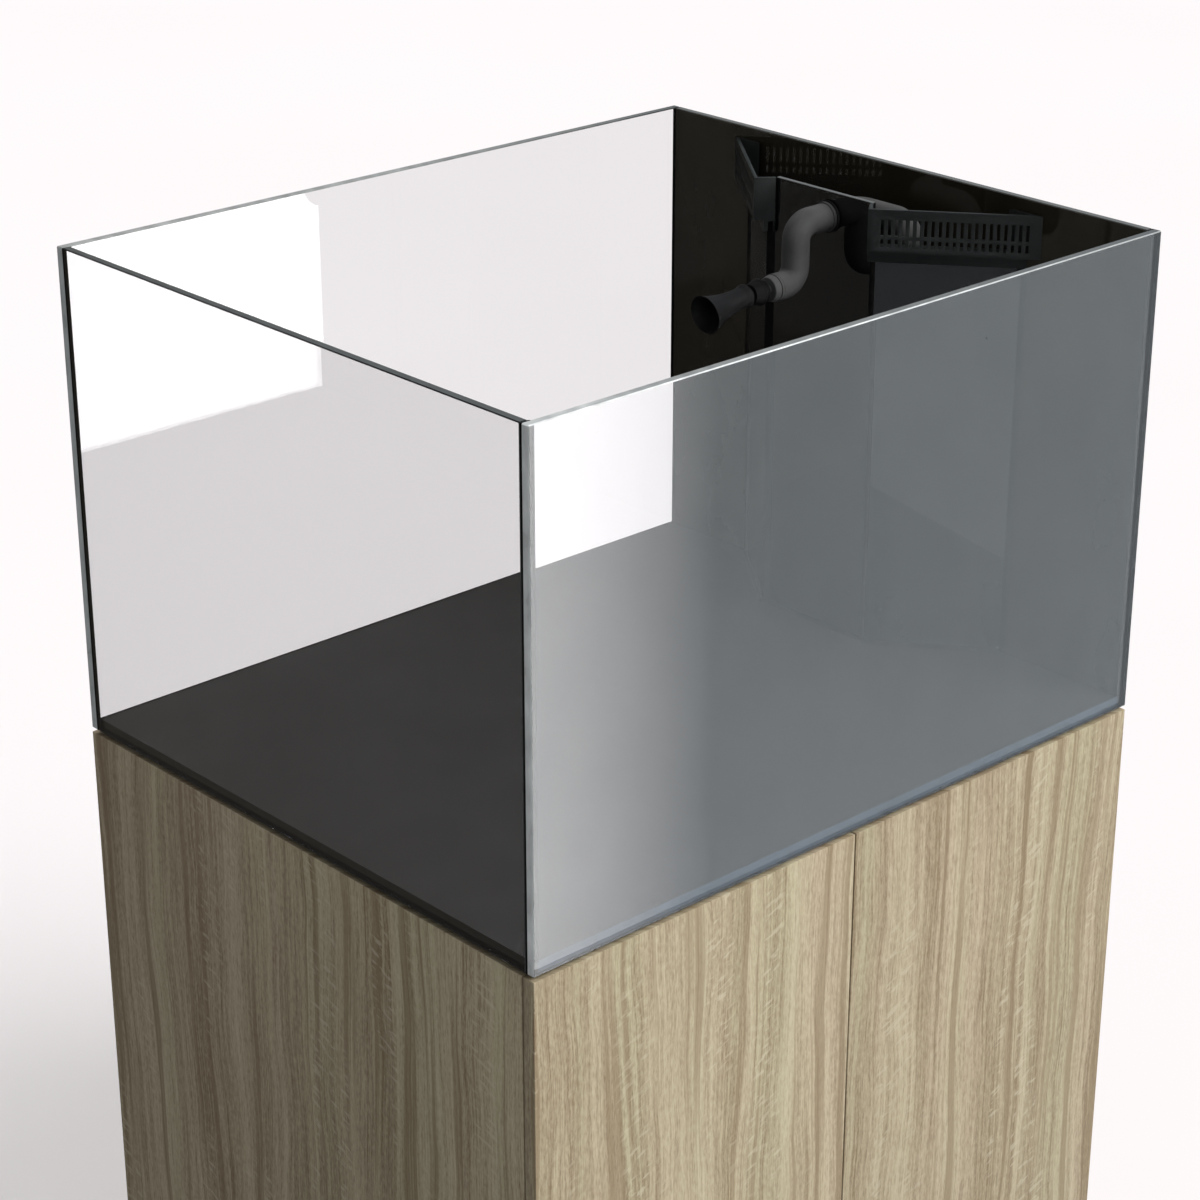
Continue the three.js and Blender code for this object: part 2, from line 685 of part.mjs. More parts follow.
function addLatch(side, half, doorBack) {
  const front = CARCASS_FRONT + 5;
  const z = CABINET_HEIGHT - BOARD - 10;
  const housing = block([LATCH_X - 9, LATCH_X + 9], [front, front + 62], [z - 9, z + 10 - GAP]);
  const bore = aimY(rod(4.4, [front - 1, front + 46])).translate(LATCH_X, 0, z);
  add(`latch_housing_${side}`, cut(housing, bore), BLACK_PLASTIC, half);
  const head = doorBack + GAP;
  const plunger = turned([
    [0, head],
    [5.5, head],
    [5.5, head + 3.5],
    [4, head + 3.5],
    [4, front + 42],
    [0, front + 42],
  ]);
  add(`latch_plunger_${side}`, aimY(plunger).translate(LATCH_X, 0, z), BLACK_PLASTIC, half);
}

// ---------------------------------------------------------------- sump

function addSump() {
  const { x, y, height, glass } = SUMP;
  const range = [SUMP_Z, SUMP_Z + height];
  const hollow = block(
    [x[0] + glass, x[1] - glass],
    [y[0] + glass, y[1] - glass],
    [SUMP_Z + glass, SUMP_Z + height + 1],
  );
  add("sump_tank", cut(block(x, y, range), hollow), SUMP_GLASS);
  for (const { name, x: place, height: rise } of BAFFLES) {
    const baffle = block(
      [place, place + 6],
      [y[0] + glass + GAP, y[1] - glass - GAP],
      [SUMP_Z + glass + GAP, SUMP_Z + glass + rise],
    );
    add(name, baffle, SUMP_GLASS);
  }
}

function addPump() {
  const front = PUMP.x;
  const base = SUMP_Z + SUMP.glass + GAP - PUMP.z;
  const motor = aimX(turned([[0, -104], [34, -104], [38, -98], [38, -30], [0, -30]]));
  const volute = aimX(turned([[0, -32], [PUMP.radius, -32], [PUMP.radius, -4], [PUMP.radius - 4, 0], [0, 0]]));
  const spigot = rod(12.2, [0, PUMP.radius + 22]).translate(-14, 0, 0);
  const bottomBlock = block([-96, -4], [-26, 26], [base, -20]);
  const gland = aimX(rod(6, [-114, -100])).translate(0, 0, 14);
  const intake = aimX(rod(15, [-10, 1]));
  const chamber = aimX(rod(31, [-24, -6]));
  const shaftHole = aimX(rod(4.3, [-60, -20]));
  const outlet = rod(10, [20, PUMP.radius + 23]).translate(-14, 0, 0);
  const body = cut(join(motor, volute, spigot, bottomBlock, gland), intake, chamber, shaftHole, outlet);
  add("return_pump", body, BLACK_PLASTIC).position.set(front, RETURN_Y, PUMP.z);

  const disc = rod(28, [-23, -20]);
  const shaft = rod(4, [-56, -8]);
  const blades = [];
  const bladeCount = 6;
  for (let i = 0; i < bladeCount; i++) {
    blades.push(block([2, 27], [-1, 1], [-21, -9]).rotateZ((i * 2 * Math.PI) / bladeCount));
  }
  const impeller = add("pump_impeller", aimX(join(disc, shaft, ...blades)), GREY_PVC);
  impeller.position.set(front, RETURN_Y, PUMP.z);
}

// ---------------------------------------------------------------- assembly

addTankPanes();
addTankFloor();
addCornerSeals();
addLevellingMat();
addWeir();
addOutletBulkhead();
addOutletPipe();
addOutletRing();
addNozzleSocket();
addNozzle();
addFloorFittings();
addReturnRiser();
addStandpipe();
addDrainValve();
addDownpipes();
addCarcass();
addFeet();
addDoorSide("left", -1);
addDoorSide("right", 1);
addSump();
addPump();

export default aquarium;
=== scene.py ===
"""Looks for the aquarium on its stand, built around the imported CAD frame.

Metres, +Z up, the frame's own axes: the doors face -Y and the overflow weir stands at the +X end.
Flat pieces are refined from their CAD solids, with real edges. Round pieces are turned or swept anew.
"""

import json
import math

import bmesh
import bpy
from mathutils import Matrix, Vector

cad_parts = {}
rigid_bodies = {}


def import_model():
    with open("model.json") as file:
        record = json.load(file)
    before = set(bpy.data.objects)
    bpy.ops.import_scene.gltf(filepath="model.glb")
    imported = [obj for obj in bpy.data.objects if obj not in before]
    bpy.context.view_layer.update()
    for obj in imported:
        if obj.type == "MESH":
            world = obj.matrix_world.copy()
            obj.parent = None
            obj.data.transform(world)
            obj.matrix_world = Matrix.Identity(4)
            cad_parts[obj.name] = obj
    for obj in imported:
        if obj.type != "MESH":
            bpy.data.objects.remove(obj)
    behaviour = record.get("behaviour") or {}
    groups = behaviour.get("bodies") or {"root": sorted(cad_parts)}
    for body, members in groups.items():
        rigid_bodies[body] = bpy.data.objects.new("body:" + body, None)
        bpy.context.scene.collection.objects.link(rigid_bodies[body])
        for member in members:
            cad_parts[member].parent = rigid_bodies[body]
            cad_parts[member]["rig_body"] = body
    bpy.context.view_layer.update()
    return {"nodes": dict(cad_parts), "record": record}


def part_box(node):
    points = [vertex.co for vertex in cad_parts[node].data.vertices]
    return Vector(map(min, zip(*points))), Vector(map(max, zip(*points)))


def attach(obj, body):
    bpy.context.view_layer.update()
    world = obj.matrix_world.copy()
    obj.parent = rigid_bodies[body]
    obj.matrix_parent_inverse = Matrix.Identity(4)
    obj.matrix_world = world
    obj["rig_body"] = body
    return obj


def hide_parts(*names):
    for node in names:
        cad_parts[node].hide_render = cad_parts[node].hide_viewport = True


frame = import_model()

MM = 0.001  # metres
FULL_TURN = 2 * math.pi
GLASS_IOR = 1.52
FINE = 64  # sides of a large round piece
MEDIUM = 40  # sides of a small one


def placed(name, data):
    """A new object in the scene."""
    obj = bpy.data.objects.new(name, data)
    bpy.context.scene.collection.objects.link(obj)
    return obj


# ---------------------------------------------------------------- places, from the frame


def middle(node):
    low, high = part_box(node)
    return (low + high) / 2


TANK_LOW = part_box("tank_front_pane")[0]
TANK_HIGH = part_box("tank_rear_pane")[1]
FLOOR_GLASS_LOW, FLOOR_GLASS_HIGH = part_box("tank_floor_pane")
TANK_FLOOR_Z = FLOOR_GLASS_HIGH.z
INSIDE_LOW = Vector((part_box("tank_left_end_pane")[1].x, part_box("tank_front_pane")[1].y, TANK_FLOOR_Z))
INSIDE_HIGH = Vector((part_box("tank_black_end_pane")[0].x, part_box("tank_rear_pane")[0].y, TANK_HIGH.z))
PANEL_LOW, PANEL_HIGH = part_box("weir_centre_panel")
WEIR_Y = middle("weir_centre_panel").y
COMB_LOW, COMB_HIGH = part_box("weir_front_comb")
WING_ANGLE = math.radians(51.56)  # turn of the wings from the X axis

OUTLET = middle("outlet_bulkhead")  # its y and z are the outlet pipe's upper axis
NOZZLE_AXIS = middle("outlet_ring")  # its y and z are the lower axis
PLUMB_X = middle("drain_standpipe").x
RETURN_Y = middle("return_bulkhead").y
DRAIN_Y = middle("drain_bulkhead").y
PIPE_OUTER = 16 * MM
PIPE_INNER = 13.2 * MM
PIPE_BEND = 20 * MM


# ---------------------------------------------------------------- node materials


class Tree:
    """A node tree with a short way to add and join its nodes."""

    def __init__(self, tree):
        self.tree = tree

    def add(self, kind, values=(), **settings):
        node = self.tree.nodes.new(kind)
        for key, value in settings.items():
            setattr(node, key, value)
        for key, value in dict(values).items():
            if isinstance(value, bpy.types.NodeSocket):
                self.tree.links.new(value, node.inputs[key])
            else:
                node.inputs[key].default_value = value
        return node

    def place(self, scale=(1, 1, 1), offset=(0, 0, 0), turn=(0, 0, 0)):
        """Object coordinates in metres, scaled to repeats per metre."""
        coordinates = self.add("ShaderNodeTexCoord").outputs["Object"]
        mapping = {"Vector": coordinates, "Scale": scale, "Location": offset, "Rotation": turn}
        return self.add("ShaderNodeMapping", mapping).outputs["Vector"]

    def noise(self, vector, scale=1.0, detail=3.0, roughness=0.5, distortion=0.0):
        values = {"Vector": vector, "Scale": scale, "Detail": detail, "Roughness": roughness,
                  "Distortion": distortion}
        return self.add("ShaderNodeTexNoise", values).outputs["Fac"]

    def even_noise(self, per_metre, **settings):
        return self.noise(self.place((per_metre,) * 3), **settings)

    def math(self, operation, a, b=0.0, clamp=False):
        return self.add("ShaderNodeMath", {0: a, 1: b}, operation=operation, use_clamp=clamp).outputs[0]

    def span(self, value, low, high, to_low=0.0, to_high=1.0):
        values = {"Value": value, "From Min": low, "From Max": high, "To Min": to_low, "To Max": to_high}
        return self.add("ShaderNodeMapRange", values).outputs["Result"]

    def ramp(self, value, stops):
        node = self.add("ShaderNodeValToRGB", {"Fac": value})
        elements = node.color_ramp.elements
        while len(elements) < len(stops):
            elements.new(1.0)
        for element, (position, colour) in zip(elements, stops):
            element.position = position
            element.color = (*colour, 1)
        return node.outputs["Color"]

    def mix(self, factor, a, b, blend="MIX"):
        first, second = (c if isinstance(c, bpy.types.NodeSocket) else (*c, 1) for c in (a, b))
        values = {0: factor, 6: first, 7: second}
        return self.add("ShaderNodeMix", values, data_type="RGBA", blend_type=blend).outputs[2]

    def either(self, factor, first, second):
        """The first shader where the factor is 0, the second where it is 1."""
        return self.add("ShaderNodeMixShader", {0: factor, 1: first, 2: second}).outputs[0]

    def bump(self, height, strength, distance):
        values = {"Height": height, "Strength": strength, "Distance": distance}
        return self.add("ShaderNodeBump", values).outputs["Normal"]

    def depths(self):
        """Light Path's counts: how many times a ray has been mirrored and how often scattered."""
        path = self.add("ShaderNodeLightPath")
        return path.outputs["Glossy Depth"], path.outputs["Diffuse Depth"]


class Nodes(Tree):
    """A new material with its shader."""

    def __init__(self, name):
        self.material = bpy.data.materials.new(name)
        self.material.use_nodes = True
        super().__init__(self.material.node_tree)
        self.shader = self.tree.nodes["Principled BSDF"]
        self.output = self.tree.nodes["Material Output"]

    def mottled(self, colour, source, darker, lighter):
        """The colour, darker and lighter by factors as the source swings about its middle."""
        return self.mix(self.span(source, 0.3, 0.7), shade(colour, darker), shade(colour, lighter))

    def set(self, **inputs):
        names = {"colour": "Base Color", "roughness": "Roughness", "metallic": "Metallic", "ior": "IOR",
                 "normal": "Normal", "specular": "Specular IOR Level"}
        for key, value in inputs.items():
            socket = self.shader.inputs[names[key]]
            if isinstance(value, bpy.types.NodeSocket):
                self.tree.links.new(value, socket)
            elif key == "colour":
                socket.default_value = (*value, 1)
            else:
                socket.default_value = value
        return self.material


def shade(colour, factor):
    return tuple(channel * factor for channel in colour)


def clear_glass(name, tint):
    """Polished float glass. Light on its way to a lamp passes straight through it."""
    n = Nodes(name)
    ripple = n.even_noise(3, detail=1.0)
    smears = n.noise(n.place((22, 22, 9)), detail=4.0, roughness=0.6)
    mirror_values = {
        "Color": n.mix(n.span(smears, 0.4, 0.75), (1.0, 1.0, 1.0), (0.93, 0.94, 0.95)),
        "Roughness": 0.0,
        "Normal": n.bump(ripple, 0.04, 0.0015),
    }
    mirror = n.add("ShaderNodeBsdfGlossy", mirror_values).outputs[0]
    bent = n.add("ShaderNodeBsdfRefraction", {"Color": (*tint, 1), "Roughness": 0.0, "IOR": GLASS_IOR})
    share = n.add("ShaderNodeFresnel", {"IOR": GLASS_IOR}).outputs[0]
    seen = n.either(share, bent.outputs[0], mirror)
    straight = n.add("ShaderNodeBsdfTransparent", {"Color": (*shade(tint, 0.96), 1)}).outputs[0]
    to_lamp = n.add("ShaderNodeLightPath").outputs["Is Shadow Ray"]
    n.tree.links.new(n.either(to_lamp, seen, straight), n.output.inputs["Surface"])
    n.tree.nodes.remove(n.shader)
    return n.material


# Shares of an edge's painted shade, from the end away from the weir (0) to the weir end (1).
SHADE_FADES_EARLY = [(0.0, 0.0), (0.22, 0.62), (0.7, 0.88), (1.0, 1.0)]
SHADE_FADES_LATE = [(0.0, 0.0), (0.45, 0.12), (0.75, 0.55), (1.0, 1.0)]


def edge_glass(name, colour, roughness, far_shade_colour=None, shade_fading=SHADE_FADES_EARLY):
    """A cut edge, polished flat. It may darken towards the weir end, away from the bright glass: a painted
    shade.
    """
    n = Nodes(name)
    clouds = n.noise(n.place((60, 60, 25)), detail=3.0)
    lines = n.even_noise(900, detail=2.0)
    tone = n.mottled(colour, clouds, 0.75, 1.25)
    # Painted shade: the edge fades to the far colour along the tank towards the weir end.
    if far_shade_colour:
        across = n.add("ShaderNodeSeparateXYZ", {0: n.place()}).outputs["X"]
        stops = [(place, (share,) * 3) for place, share in shade_fading]
        reach = n.ramp(n.span(across, TANK_LOW.x, TANK_HIGH.x), stops)
        tone = n.mix(reach, tone, far_shade_colour)
    return n.set(colour=tone, roughness=n.span(clouds, 0.3, 0.7, roughness * 0.7, roughness * 1.4),
                 normal=n.bump(lines, 0.08, 0.0002), ior=GLASS_IOR)


def black_glass(name, colour, roughness=0.02):
    n = Nodes(name)
    film = n.noise(n.place((7, 7, 4)), detail=5.0, roughness=0.62)
    ripple = n.even_noise(4, detail=1.0)
    tone = n.mix(n.span(film, 0.35, 0.75), colour, shade(colour, 1.5))
    return n.set(colour=tone, roughness=n.span(film, 0.4, 0.75, roughness, roughness + 0.03),
                 normal=n.bump(ripple, 0.04, 0.002), ior=1.5)


def moulded(name, colour, roughness=0.38, grain=700, specular=0.25):
    """Injection-moulded plastic with a fine spark-eroded surface and uneven gloss."""
    n = Nodes(name)
    fine = n.even_noise(grain, detail=2.0)
    broad = n.even_noise(35, detail=4.0, roughness=0.6)
    tone = n.mottled(colour, broad, 0.85, 1.18)
    return n.set(colour=tone, roughness=n.span(broad, 0.25, 0.75, roughness * 0.8, roughness * 1.25),
                 normal=n.bump(fine, 0.18, 0.00025), ior=1.48, specular=specular)


def painted_glass(name, colour):
    """The tank's floor: black glass whose dusty upper face hardly mirrors."""
    n = Nodes(name)
    dust = n.even_noise(9, detail=5.0, roughness=0.6)
    specks = n.even_noise(420, detail=2.0)
    tone = n.mottled(colour, dust, 0.9, 1.15)
    return n.set(colour=tone, roughness=n.span(dust, 0.3, 0.7, 0.5, 0.65), specular=0.0,
                 normal=n.bump(specks, 0.05, 0.0002), ior=1.5)


def rubbery(name, colour, roughness=0.42):
    """Cured silicone: a smooth skin with small tooling waves."""
    n = Nodes(name)
    waves = n.noise(n.place((45, 45, 70)), detail=3.0, distortion=0.4)
    tone = n.mottled(colour, waves, 1, 1.6)
    return n.set(colour=tone, roughness=n.span(waves, 0.3, 0.7, roughness * 0.8, roughness * 1.3),
                 normal=n.bump(waves, 0.3, 0.0009), ior=1.41, specular=0.12)


def cellular(name, colour):
    """Closed-cell foam, matt, with its cut cells showing."""
    n = Nodes(name)
    cells = n.add("ShaderNodeTexVoronoi", {"Vector": n.place((900, 900, 900)), "Scale": 1.0})
    distance = cells.outputs["Distance"]
    # The cells are painted darker at their middles: painted shade in the pits that the bump hollows out.
    tone = n.mix(distance, shade(colour, 0.6), shade(colour, 1.5))
    return n.set(colour=tone, roughness=n.span(distance, 0.0, 0.8, 0.85, 1.0),
                 normal=n.bump(distance, 0.6, 0.0006))


def plated(name, colour, roughness=0.24):
    """Nickel plate over pressed steel."""
    n = Nodes(name)
    brushed = n.noise(n.place((250, 250, 2500)), detail=3.0)
    broad = n.even_noise(60, detail=3.0)
    tone = n.mottled(colour, broad, 0.85, 1)
    return n.set(colour=tone, metallic=1.0, normal=n.bump(brushed, 0.06, 0.0002),
                 roughness=n.span(brushed, 0.3, 0.7, roughness * 0.8, roughness * 1.4))


PALE = (0.485, 0.422, 0.296)
STRAW = (0.399, 0.335, 0.226)
TAN = (0.320, 0.260, 0.173)
STREAK = (0.222, 0.163, 0.096)
PORE = (0.188, 0.144, 0.088)
FLECK = (0.520, 0.465, 0.345)
GREENISH = (0.975, 1.005, 0.985)
PINKISH = (1.010, 0.986, 1.006)
RAY_SLANT = -0.36  # how steeply the ray flecks climb across the grain


class Grain(Nodes):
    """A board's material. u runs across the grain over its two visible sides, and v runs along it."""

    def __init__(self, name, along, seed):
        super().__init__(name)
        axes = self.add("ShaderNodeSeparateXYZ", {0: self.place()}).outputs
        across = [axis for axis in "XYZ" if axis != along]
        self.u = self.math("ADD", axes[across[0]], axes[across[1]])
        self.v = axes[along]
        self.seed = seed
        # A slow sideways wander, shared by the bands and the streaks, keeps them from running straight.
        slow = self.swing(self.layer(5, 2.1, 0.0, self.u, detail=1.0), 0.050)
        quick = self.swing(self.layer(16, 7.5, 9.0, self.u, detail=1.0), 0.012)
        self.bent = self.math("ADD", self.u, self.math("ADD", slow, quick))

    def layer(self, per_u, per_v, shift, source, slant=0.0, **settings):
        """Noise with per_u and per_v repeats a metre. The shift gives each layer its own part of it."""
        height = self.v
        if slant:
            height = self.math("ADD", self.v, self.math("MULTIPLY", source, slant))
        place = {"X": self.math("MULTIPLY", source, per_u), "Y": self.math("MULTIPLY", height, per_v),
                 "Z": self.seed + shift}
        return self.noise(self.add("ShaderNodeCombineXYZ", place).outputs[0], **settings)

    def swing(self, value, reach):
        """The layer about zero, times how far it moves the tone."""
        return self.math("MULTIPLY", self.math("SUBTRACT", value, 0.5), reach)

    def stain(self, board, amount, share, colour):
        """The board with a share of the colour where the amount is full."""
        return self.mix(self.math("MULTIPLY", amount, share), board, colour)


def grain_tone(n, fibres, hues):
    """Broad bands, ribbons and fibres, then a slow drift between a pinkish and a greenish cast."""
    bands = n.layer(38, 0.8, 1.0, n.bent, detail=2.0, roughness=0.5)
    ribbons = n.layer(110, 1.1, 10.0, n.bent, detail=2.0, roughness=0.6)
    mottle = n.layer(430, 115, 6.0, n.u, detail=2.0, roughness=0.65)
    tone = n.math("ADD", 0.56, n.swing(bands, 1.15))
    for part in (n.swing(ribbons, 0.95), n.swing(fibres, 1.30), n.swing(mottle, 0.90)):
        tone = n.math("ADD", tone, part)
    board = n.ramp(tone, [(0.10, STREAK), (0.38, TAN), (0.58, STRAW), (0.95, PALE)])
    plain = (1.0, 1.0, 1.0)
    tint = n.ramp(hues, [(0.36, PINKISH), (0.46, plain), (0.54, plain), (0.64, GREENISH)])
    return n.mix(1.0, board, tint, "MULTIPLY")


def grain_streaks(n, board):
    """Wandering dark streaks with finer hairs beside them."""
    streaks = n.layer(70, 0.9, 3.0, n.bent, detail=2.0, roughness=0.55)
    hairs = n.layer(240, 1.5, 4.0, n.bent, detail=2.0)
    hair = n.math("MULTIPLY", n.span(hairs, 0.56, 0.66), n.span(streaks, 0.42, 0.58))
    board = n.stain(board, n.span(streaks, 0.565, 0.645), 0.64, STREAK)
    return n.stain(board, hair, 0.62, STREAK)


def grain_flecks(n, board):
    """Short pale ray flecks, in columns."""
    columns = n.layer(24, 2.0, 7.0, n.bent, detail=1.0)
    rays = n.layer(52, 165, 8.0, n.u, slant=RAY_SLANT, detail=2.0, roughness=0.5)
    ray = n.math("MULTIPLY", n.span(columns, 0.54, 0.62), n.span(rays, 0.56, 0.64))
    return n.stain(board, ray, 0.50, FLECK)


def oak(name, along, seed):
    """Pale oak-grain board with bands, streaks, fibres, pores and ray flecks."""
    n = Grain(name, along, seed)
    fibres = n.layer(400, 9, 5.0, n.bent, detail=3.0, roughness=0.7)
    hues = n.layer(19, 0.6, 2.0, n.bent, detail=1.0)
    board = grain_streaks(n, grain_tone(n, fibres, hues))
    dashes = n.layer(560, 55, 11.0, n.u, detail=2.0, roughness=0.6)
    pore = n.math("MULTIPLY", n.span(dashes, 0.54, 0.66), n.span(hues, 0.62, 0.40, 0.4, 1.0))
    board = grain_flecks(n, n.stain(board, pore, 0.40, PORE))
    relief = n.math("SUBTRACT", fibres, n.math("MULTIPLY", pore, 0.5))
    return n.set(colour=board, normal=n.bump(relief, 0.25, 0.0004), ior=1.45, specular=0.25,
                 roughness=n.span(fibres, 0.25, 0.75, 0.50, 0.66))


PANE = clear_glass("pane_face", (0.962, 0.962, 0.965))
SUMP_PANE = clear_glass("sump_pane_face", (0.930, 0.960, 0.950))
# Tones of one cut glass edge, painted lit or shaded by where light falls. The front top and the near end
# are painted lit, the rear ones are painted in half shade, and the left top, the far end and the foot are
# painted in shade. The top arris is a painted highlight, and the far colours fade in as painted shade
# towards the weir end.
FRONT_TOP_PAINTED_LIT = edge_glass("front_pane_top_edge_painted_lit", (0.50, 0.515, 0.51), 0.10, (0.018, 0.020, 0.020))
REAR_TOP_PAINTED_HALF_SHADE = edge_glass("rear_pane_top_edge_painted_half_shade", (0.295, 0.305, 0.30), 0.10, (0.015, 0.016, 0.016),
                      SHADE_FADES_LATE)
LEFT_TOP_PAINTED_SHADE = edge_glass("left_pane_top_edge_painted_shade", (0.038, 0.042, 0.042), 0.12)
PANE_END_PAINTED_LIT = edge_glass("pane_end_edge_painted_lit", (0.67, 0.69, 0.69), 0.30)
REAR_END_PAINTED_HALF_SHADE = edge_glass("rear_pane_end_edge_painted_half_shade", (0.47, 0.50, 0.50), 0.30)
FAR_END_PAINTED_SHADE = edge_glass("pane_far_end_edge_painted_shade", (0.075, 0.088, 0.092), 0.25)
PANE_FOOT_PAINTED_SHADE = edge_glass("pane_foot_edge_painted_shade", (0.012, 0.014, 0.017), 0.30)
TOP_ARRIS_PAINTED_HIGHLIGHT = edge_glass("pane_top_arris_painted_highlight", (0.78, 0.80, 0.80), 0.25, (0.34, 0.35, 0.35), SHADE_FADES_LATE)
SIDE_ARRIS_PAINTED_HALF_SHADE = edge_glass("pane_side_arris_painted_half_shade", (0.34, 0.355, 0.355), 0.30)
SUMP_EDGE = edge_glass("sump_edge", (0.20, 0.32, 0.28), 0.12)
# One black glass in three painted tones: the wings are painted lighter, the centre panel is painted
# darker, and the end wall carries a brownish painted reflection.
BLACK_PANE_PAINTED_LIT = black_glass("black_pane", (0.0090, 0.0104, 0.0128))
PANEL_PANE_PAINTED_SHADE = black_glass("black_panel_pane_painted_shade", (0.0042, 0.0042, 0.0042))
WALL_PANE_PAINTED_REFLECTION = black_glass("black_wall_pane_painted_reflection", (0.0200, 0.0172, 0.0115))
# Black glass edges: the sides are dark, and the tops are painted lighter, as if lit from above.
BLACK_EDGE = edge_glass("black_pane_edge", (0.012, 0.0125, 0.012), 0.30)
WALL_TOP_PAINTED_LIT = edge_glass("black_wall_top_edge_painted_lit", (0.055, 0.055, 0.052), 0.20)
WEIR_TOP_PAINTED_LIT = edge_glass("weir_top_edge_painted_lit", (0.060, 0.060, 0.060), 0.20)
FLOOR_PANE = painted_glass("floor_pane", (0.0205, 0.0205, 0.0212))
SILICONE = rubbery("silicone", (0.0030, 0.0030, 0.0032))
# The front run of silicone is painted bluish, a painted sheen standing in for light on the seam.
FRONT_SILICONE_PAINTED_SHEEN = rubbery("front_silicone_painted_sheen", (0.024, 0.034, 0.047))
FOAM = cellular("foam", (0.018, 0.018, 0.019))
BLACK_PLASTIC = moulded("black_plastic", (0.0125, 0.0145, 0.0145), 0.45)
SATIN_BLACK = moulded("satin_black", (0.013, 0.013, 0.0135), 0.34)
NOZZLE_BLACK = moulded("nozzle_black", (0.0095, 0.0095, 0.0100), 0.48, 700, 0.10)
SOCKET_BLACK = moulded("socket_black", (0.0075, 0.0075, 0.0080), 0.50, 700, 0.08)
GREY_PVC = moulded("grey_pvc", (0.063, 0.063, 0.0625), 0.50, 400, 0.12)
RED_PLASTIC = moulded("red_plastic", (0.42, 0.035, 0.022), 0.34, 700, 0.5)
NICKEL = plated("nickel", (0.62, 0.61, 0.59))


# ---------------------------------------------------------------- mesh making

SHARP = math.radians(32)
AIM_Z = Matrix.Identity(4)
AIM_X = Matrix.Rotation(math.pi / 2, 4, "Y")
AIM_Y = Matrix.Rotation(-math.pi / 2, 4, "X")


def finished(bm, name):
    bmesh.ops.recalc_face_normals(bm, faces=bm.faces)
    mesh = bpy.data.meshes.new(name)
    bm.to_mesh(mesh)
    bm.free()
    mesh.shade_smooth()
    mesh.set_sharp_from_angle(angle=SHARP)
    return mesh


def piece(name, bm, materials, body, replaces=()):
    """A new piece that rides on a body, with the given finishes."""
    mesh = finished(bm, name)
    for material in materials:
        mesh.materials.append(material)
    obj = placed(name, mesh)
    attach(obj, body)
    if replaces:
        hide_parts(*replaces)
    return obj


def body_and_slot(node):
    slots = {row["node"]: row["material_slot"] for row in frame["record"]["subparts"]}
    return frame["nodes"][node]["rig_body"], slots[node]


def stand_for(node, bm, materials):
    """A piece that stands for one CAD node."""
    body, slot = body_and_slot(node)
    return piece(f"{node}_shown", bm, materials, body, [node])


def solid_of(node):
    """A CAD node's solid, welded, with its flat faces whole again."""
    bm = bmesh.new()
    bm.from_mesh(frame["nodes"][node].data)
    bmesh.ops.remove_doubles(bm, verts=bm.verts, dist=0.01 * MM)
    bmesh.ops.dissolve_limit(bm, angle_limit=math.radians(0.5), verts=bm.verts, edges=bm.edges)
    return bm


def bevel(bm, edges, width, segments):
    bmesh.ops.bevel(bm, geom=edges, offset=width, segments=segments, profile=0.5, affect="EDGES",
                    clamp_overlap=True)


def round_edges(bm, width, segments=2):
    sharp = [e for e in bm.edges if len(e.link_faces) == 2 and e.calc_face_angle() > SHARP]
    bevel(bm, sharp, width, segments)
    return bm


def finish_pane(bm, finish_of, width):
    """Cuts the arrises. Every face that isn't a large one takes the finish that finish_of picks."""
    largest = max(f.calc_area() for f in bm.faces)
    broad = [f.normal.copy() for f in bm.faces if f.calc_area() > largest / 2]
    round_edges(bm, width, 1)
    for f in bm.faces:
        if all(f.normal.angle(side) > math.radians(8) for side in broad):
            f.material_index = finish_of(f)
    return bm


def pane(node, materials, finish_of, width=1.1 * MM):
    """A cut pane: its two large faces take the first finish, and its narrow edges take theirs."""
    return stand_for(node, finish_pane(solid_of(node), finish_of, width), materials)


STEEP = 0.9  # a face looks straight along an axis when its normal's part along it is over this
LEANS = 0.3  # and leans towards the axis over this


def clear_edge(f):
    """Finish of a clear pane's edge: 1 top, 2 near end, 3 far end, 4 foot, 5 top arris, 6 side arris."""
    # The finishes are painted lit and shaded tones of one edge, picked by which way a face looks and which
    # end of the tank it is at.
    if f.normal.z < -LEANS:
        return 4
    if f.normal.z > STEEP:
        return 1
    if f.normal.z > LEANS:
        return 5
    if f.calc_center_median().x > 0:
        return 3
    return 2 if abs(f.normal.x) > STEEP else 6


def black_edge(f):
    # Faces that look up take finish 2, the top painted lighter as if lit from above.
    return 2 if f.normal.z > LEANS else 1


def refined(node, materials, width, segments=2):
    return stand_for(node, round_edges(solid_of(node), width, segments), materials)


def is_closed(profile):
    return (Vector(profile[0]) - Vector(profile[-1])).length < 1e-9


def rounded(profile, radius, steps=3):
    """The profile with each inner corner replaced by a small curve."""
    points = [Vector(p) for p in profile]
    closed = is_closed(profile)
    count = len(points) - 1 if closed else len(points)
    result = []
    for i in range(count):
        if not closed and i in (0, count - 1):
            result.append(points[i])
            continue
        before, here, after = points[i - 1 if i else count - 1], points[i], points[i + 1]
        reach = min(radius, (before - here).length * 0.45, (after - here).length * 0.45)
        start = here + (before - here).normalized() * reach
        end = here + (after - here).normalized() * reach
        for k in range(steps + 1):
            t = k / steps
            result.append(start * (1 - t) ** 2 + here * 2 * t * (1 - t) + end * t**2)
    if closed:
        result.append(result[0].copy())
    return [tuple(p) for p in result]


def in_mm(profile, base=0.0):
    """A profile given in millimetres, its heights counted from base."""
    return [(radius * MM, base + height * MM) for radius, height in profile]


def wide_mm(profile):
    """A profile whose radii are in millimetres and whose heights are in metres."""
    return [(radius * MM, height) for radius, height in profile]


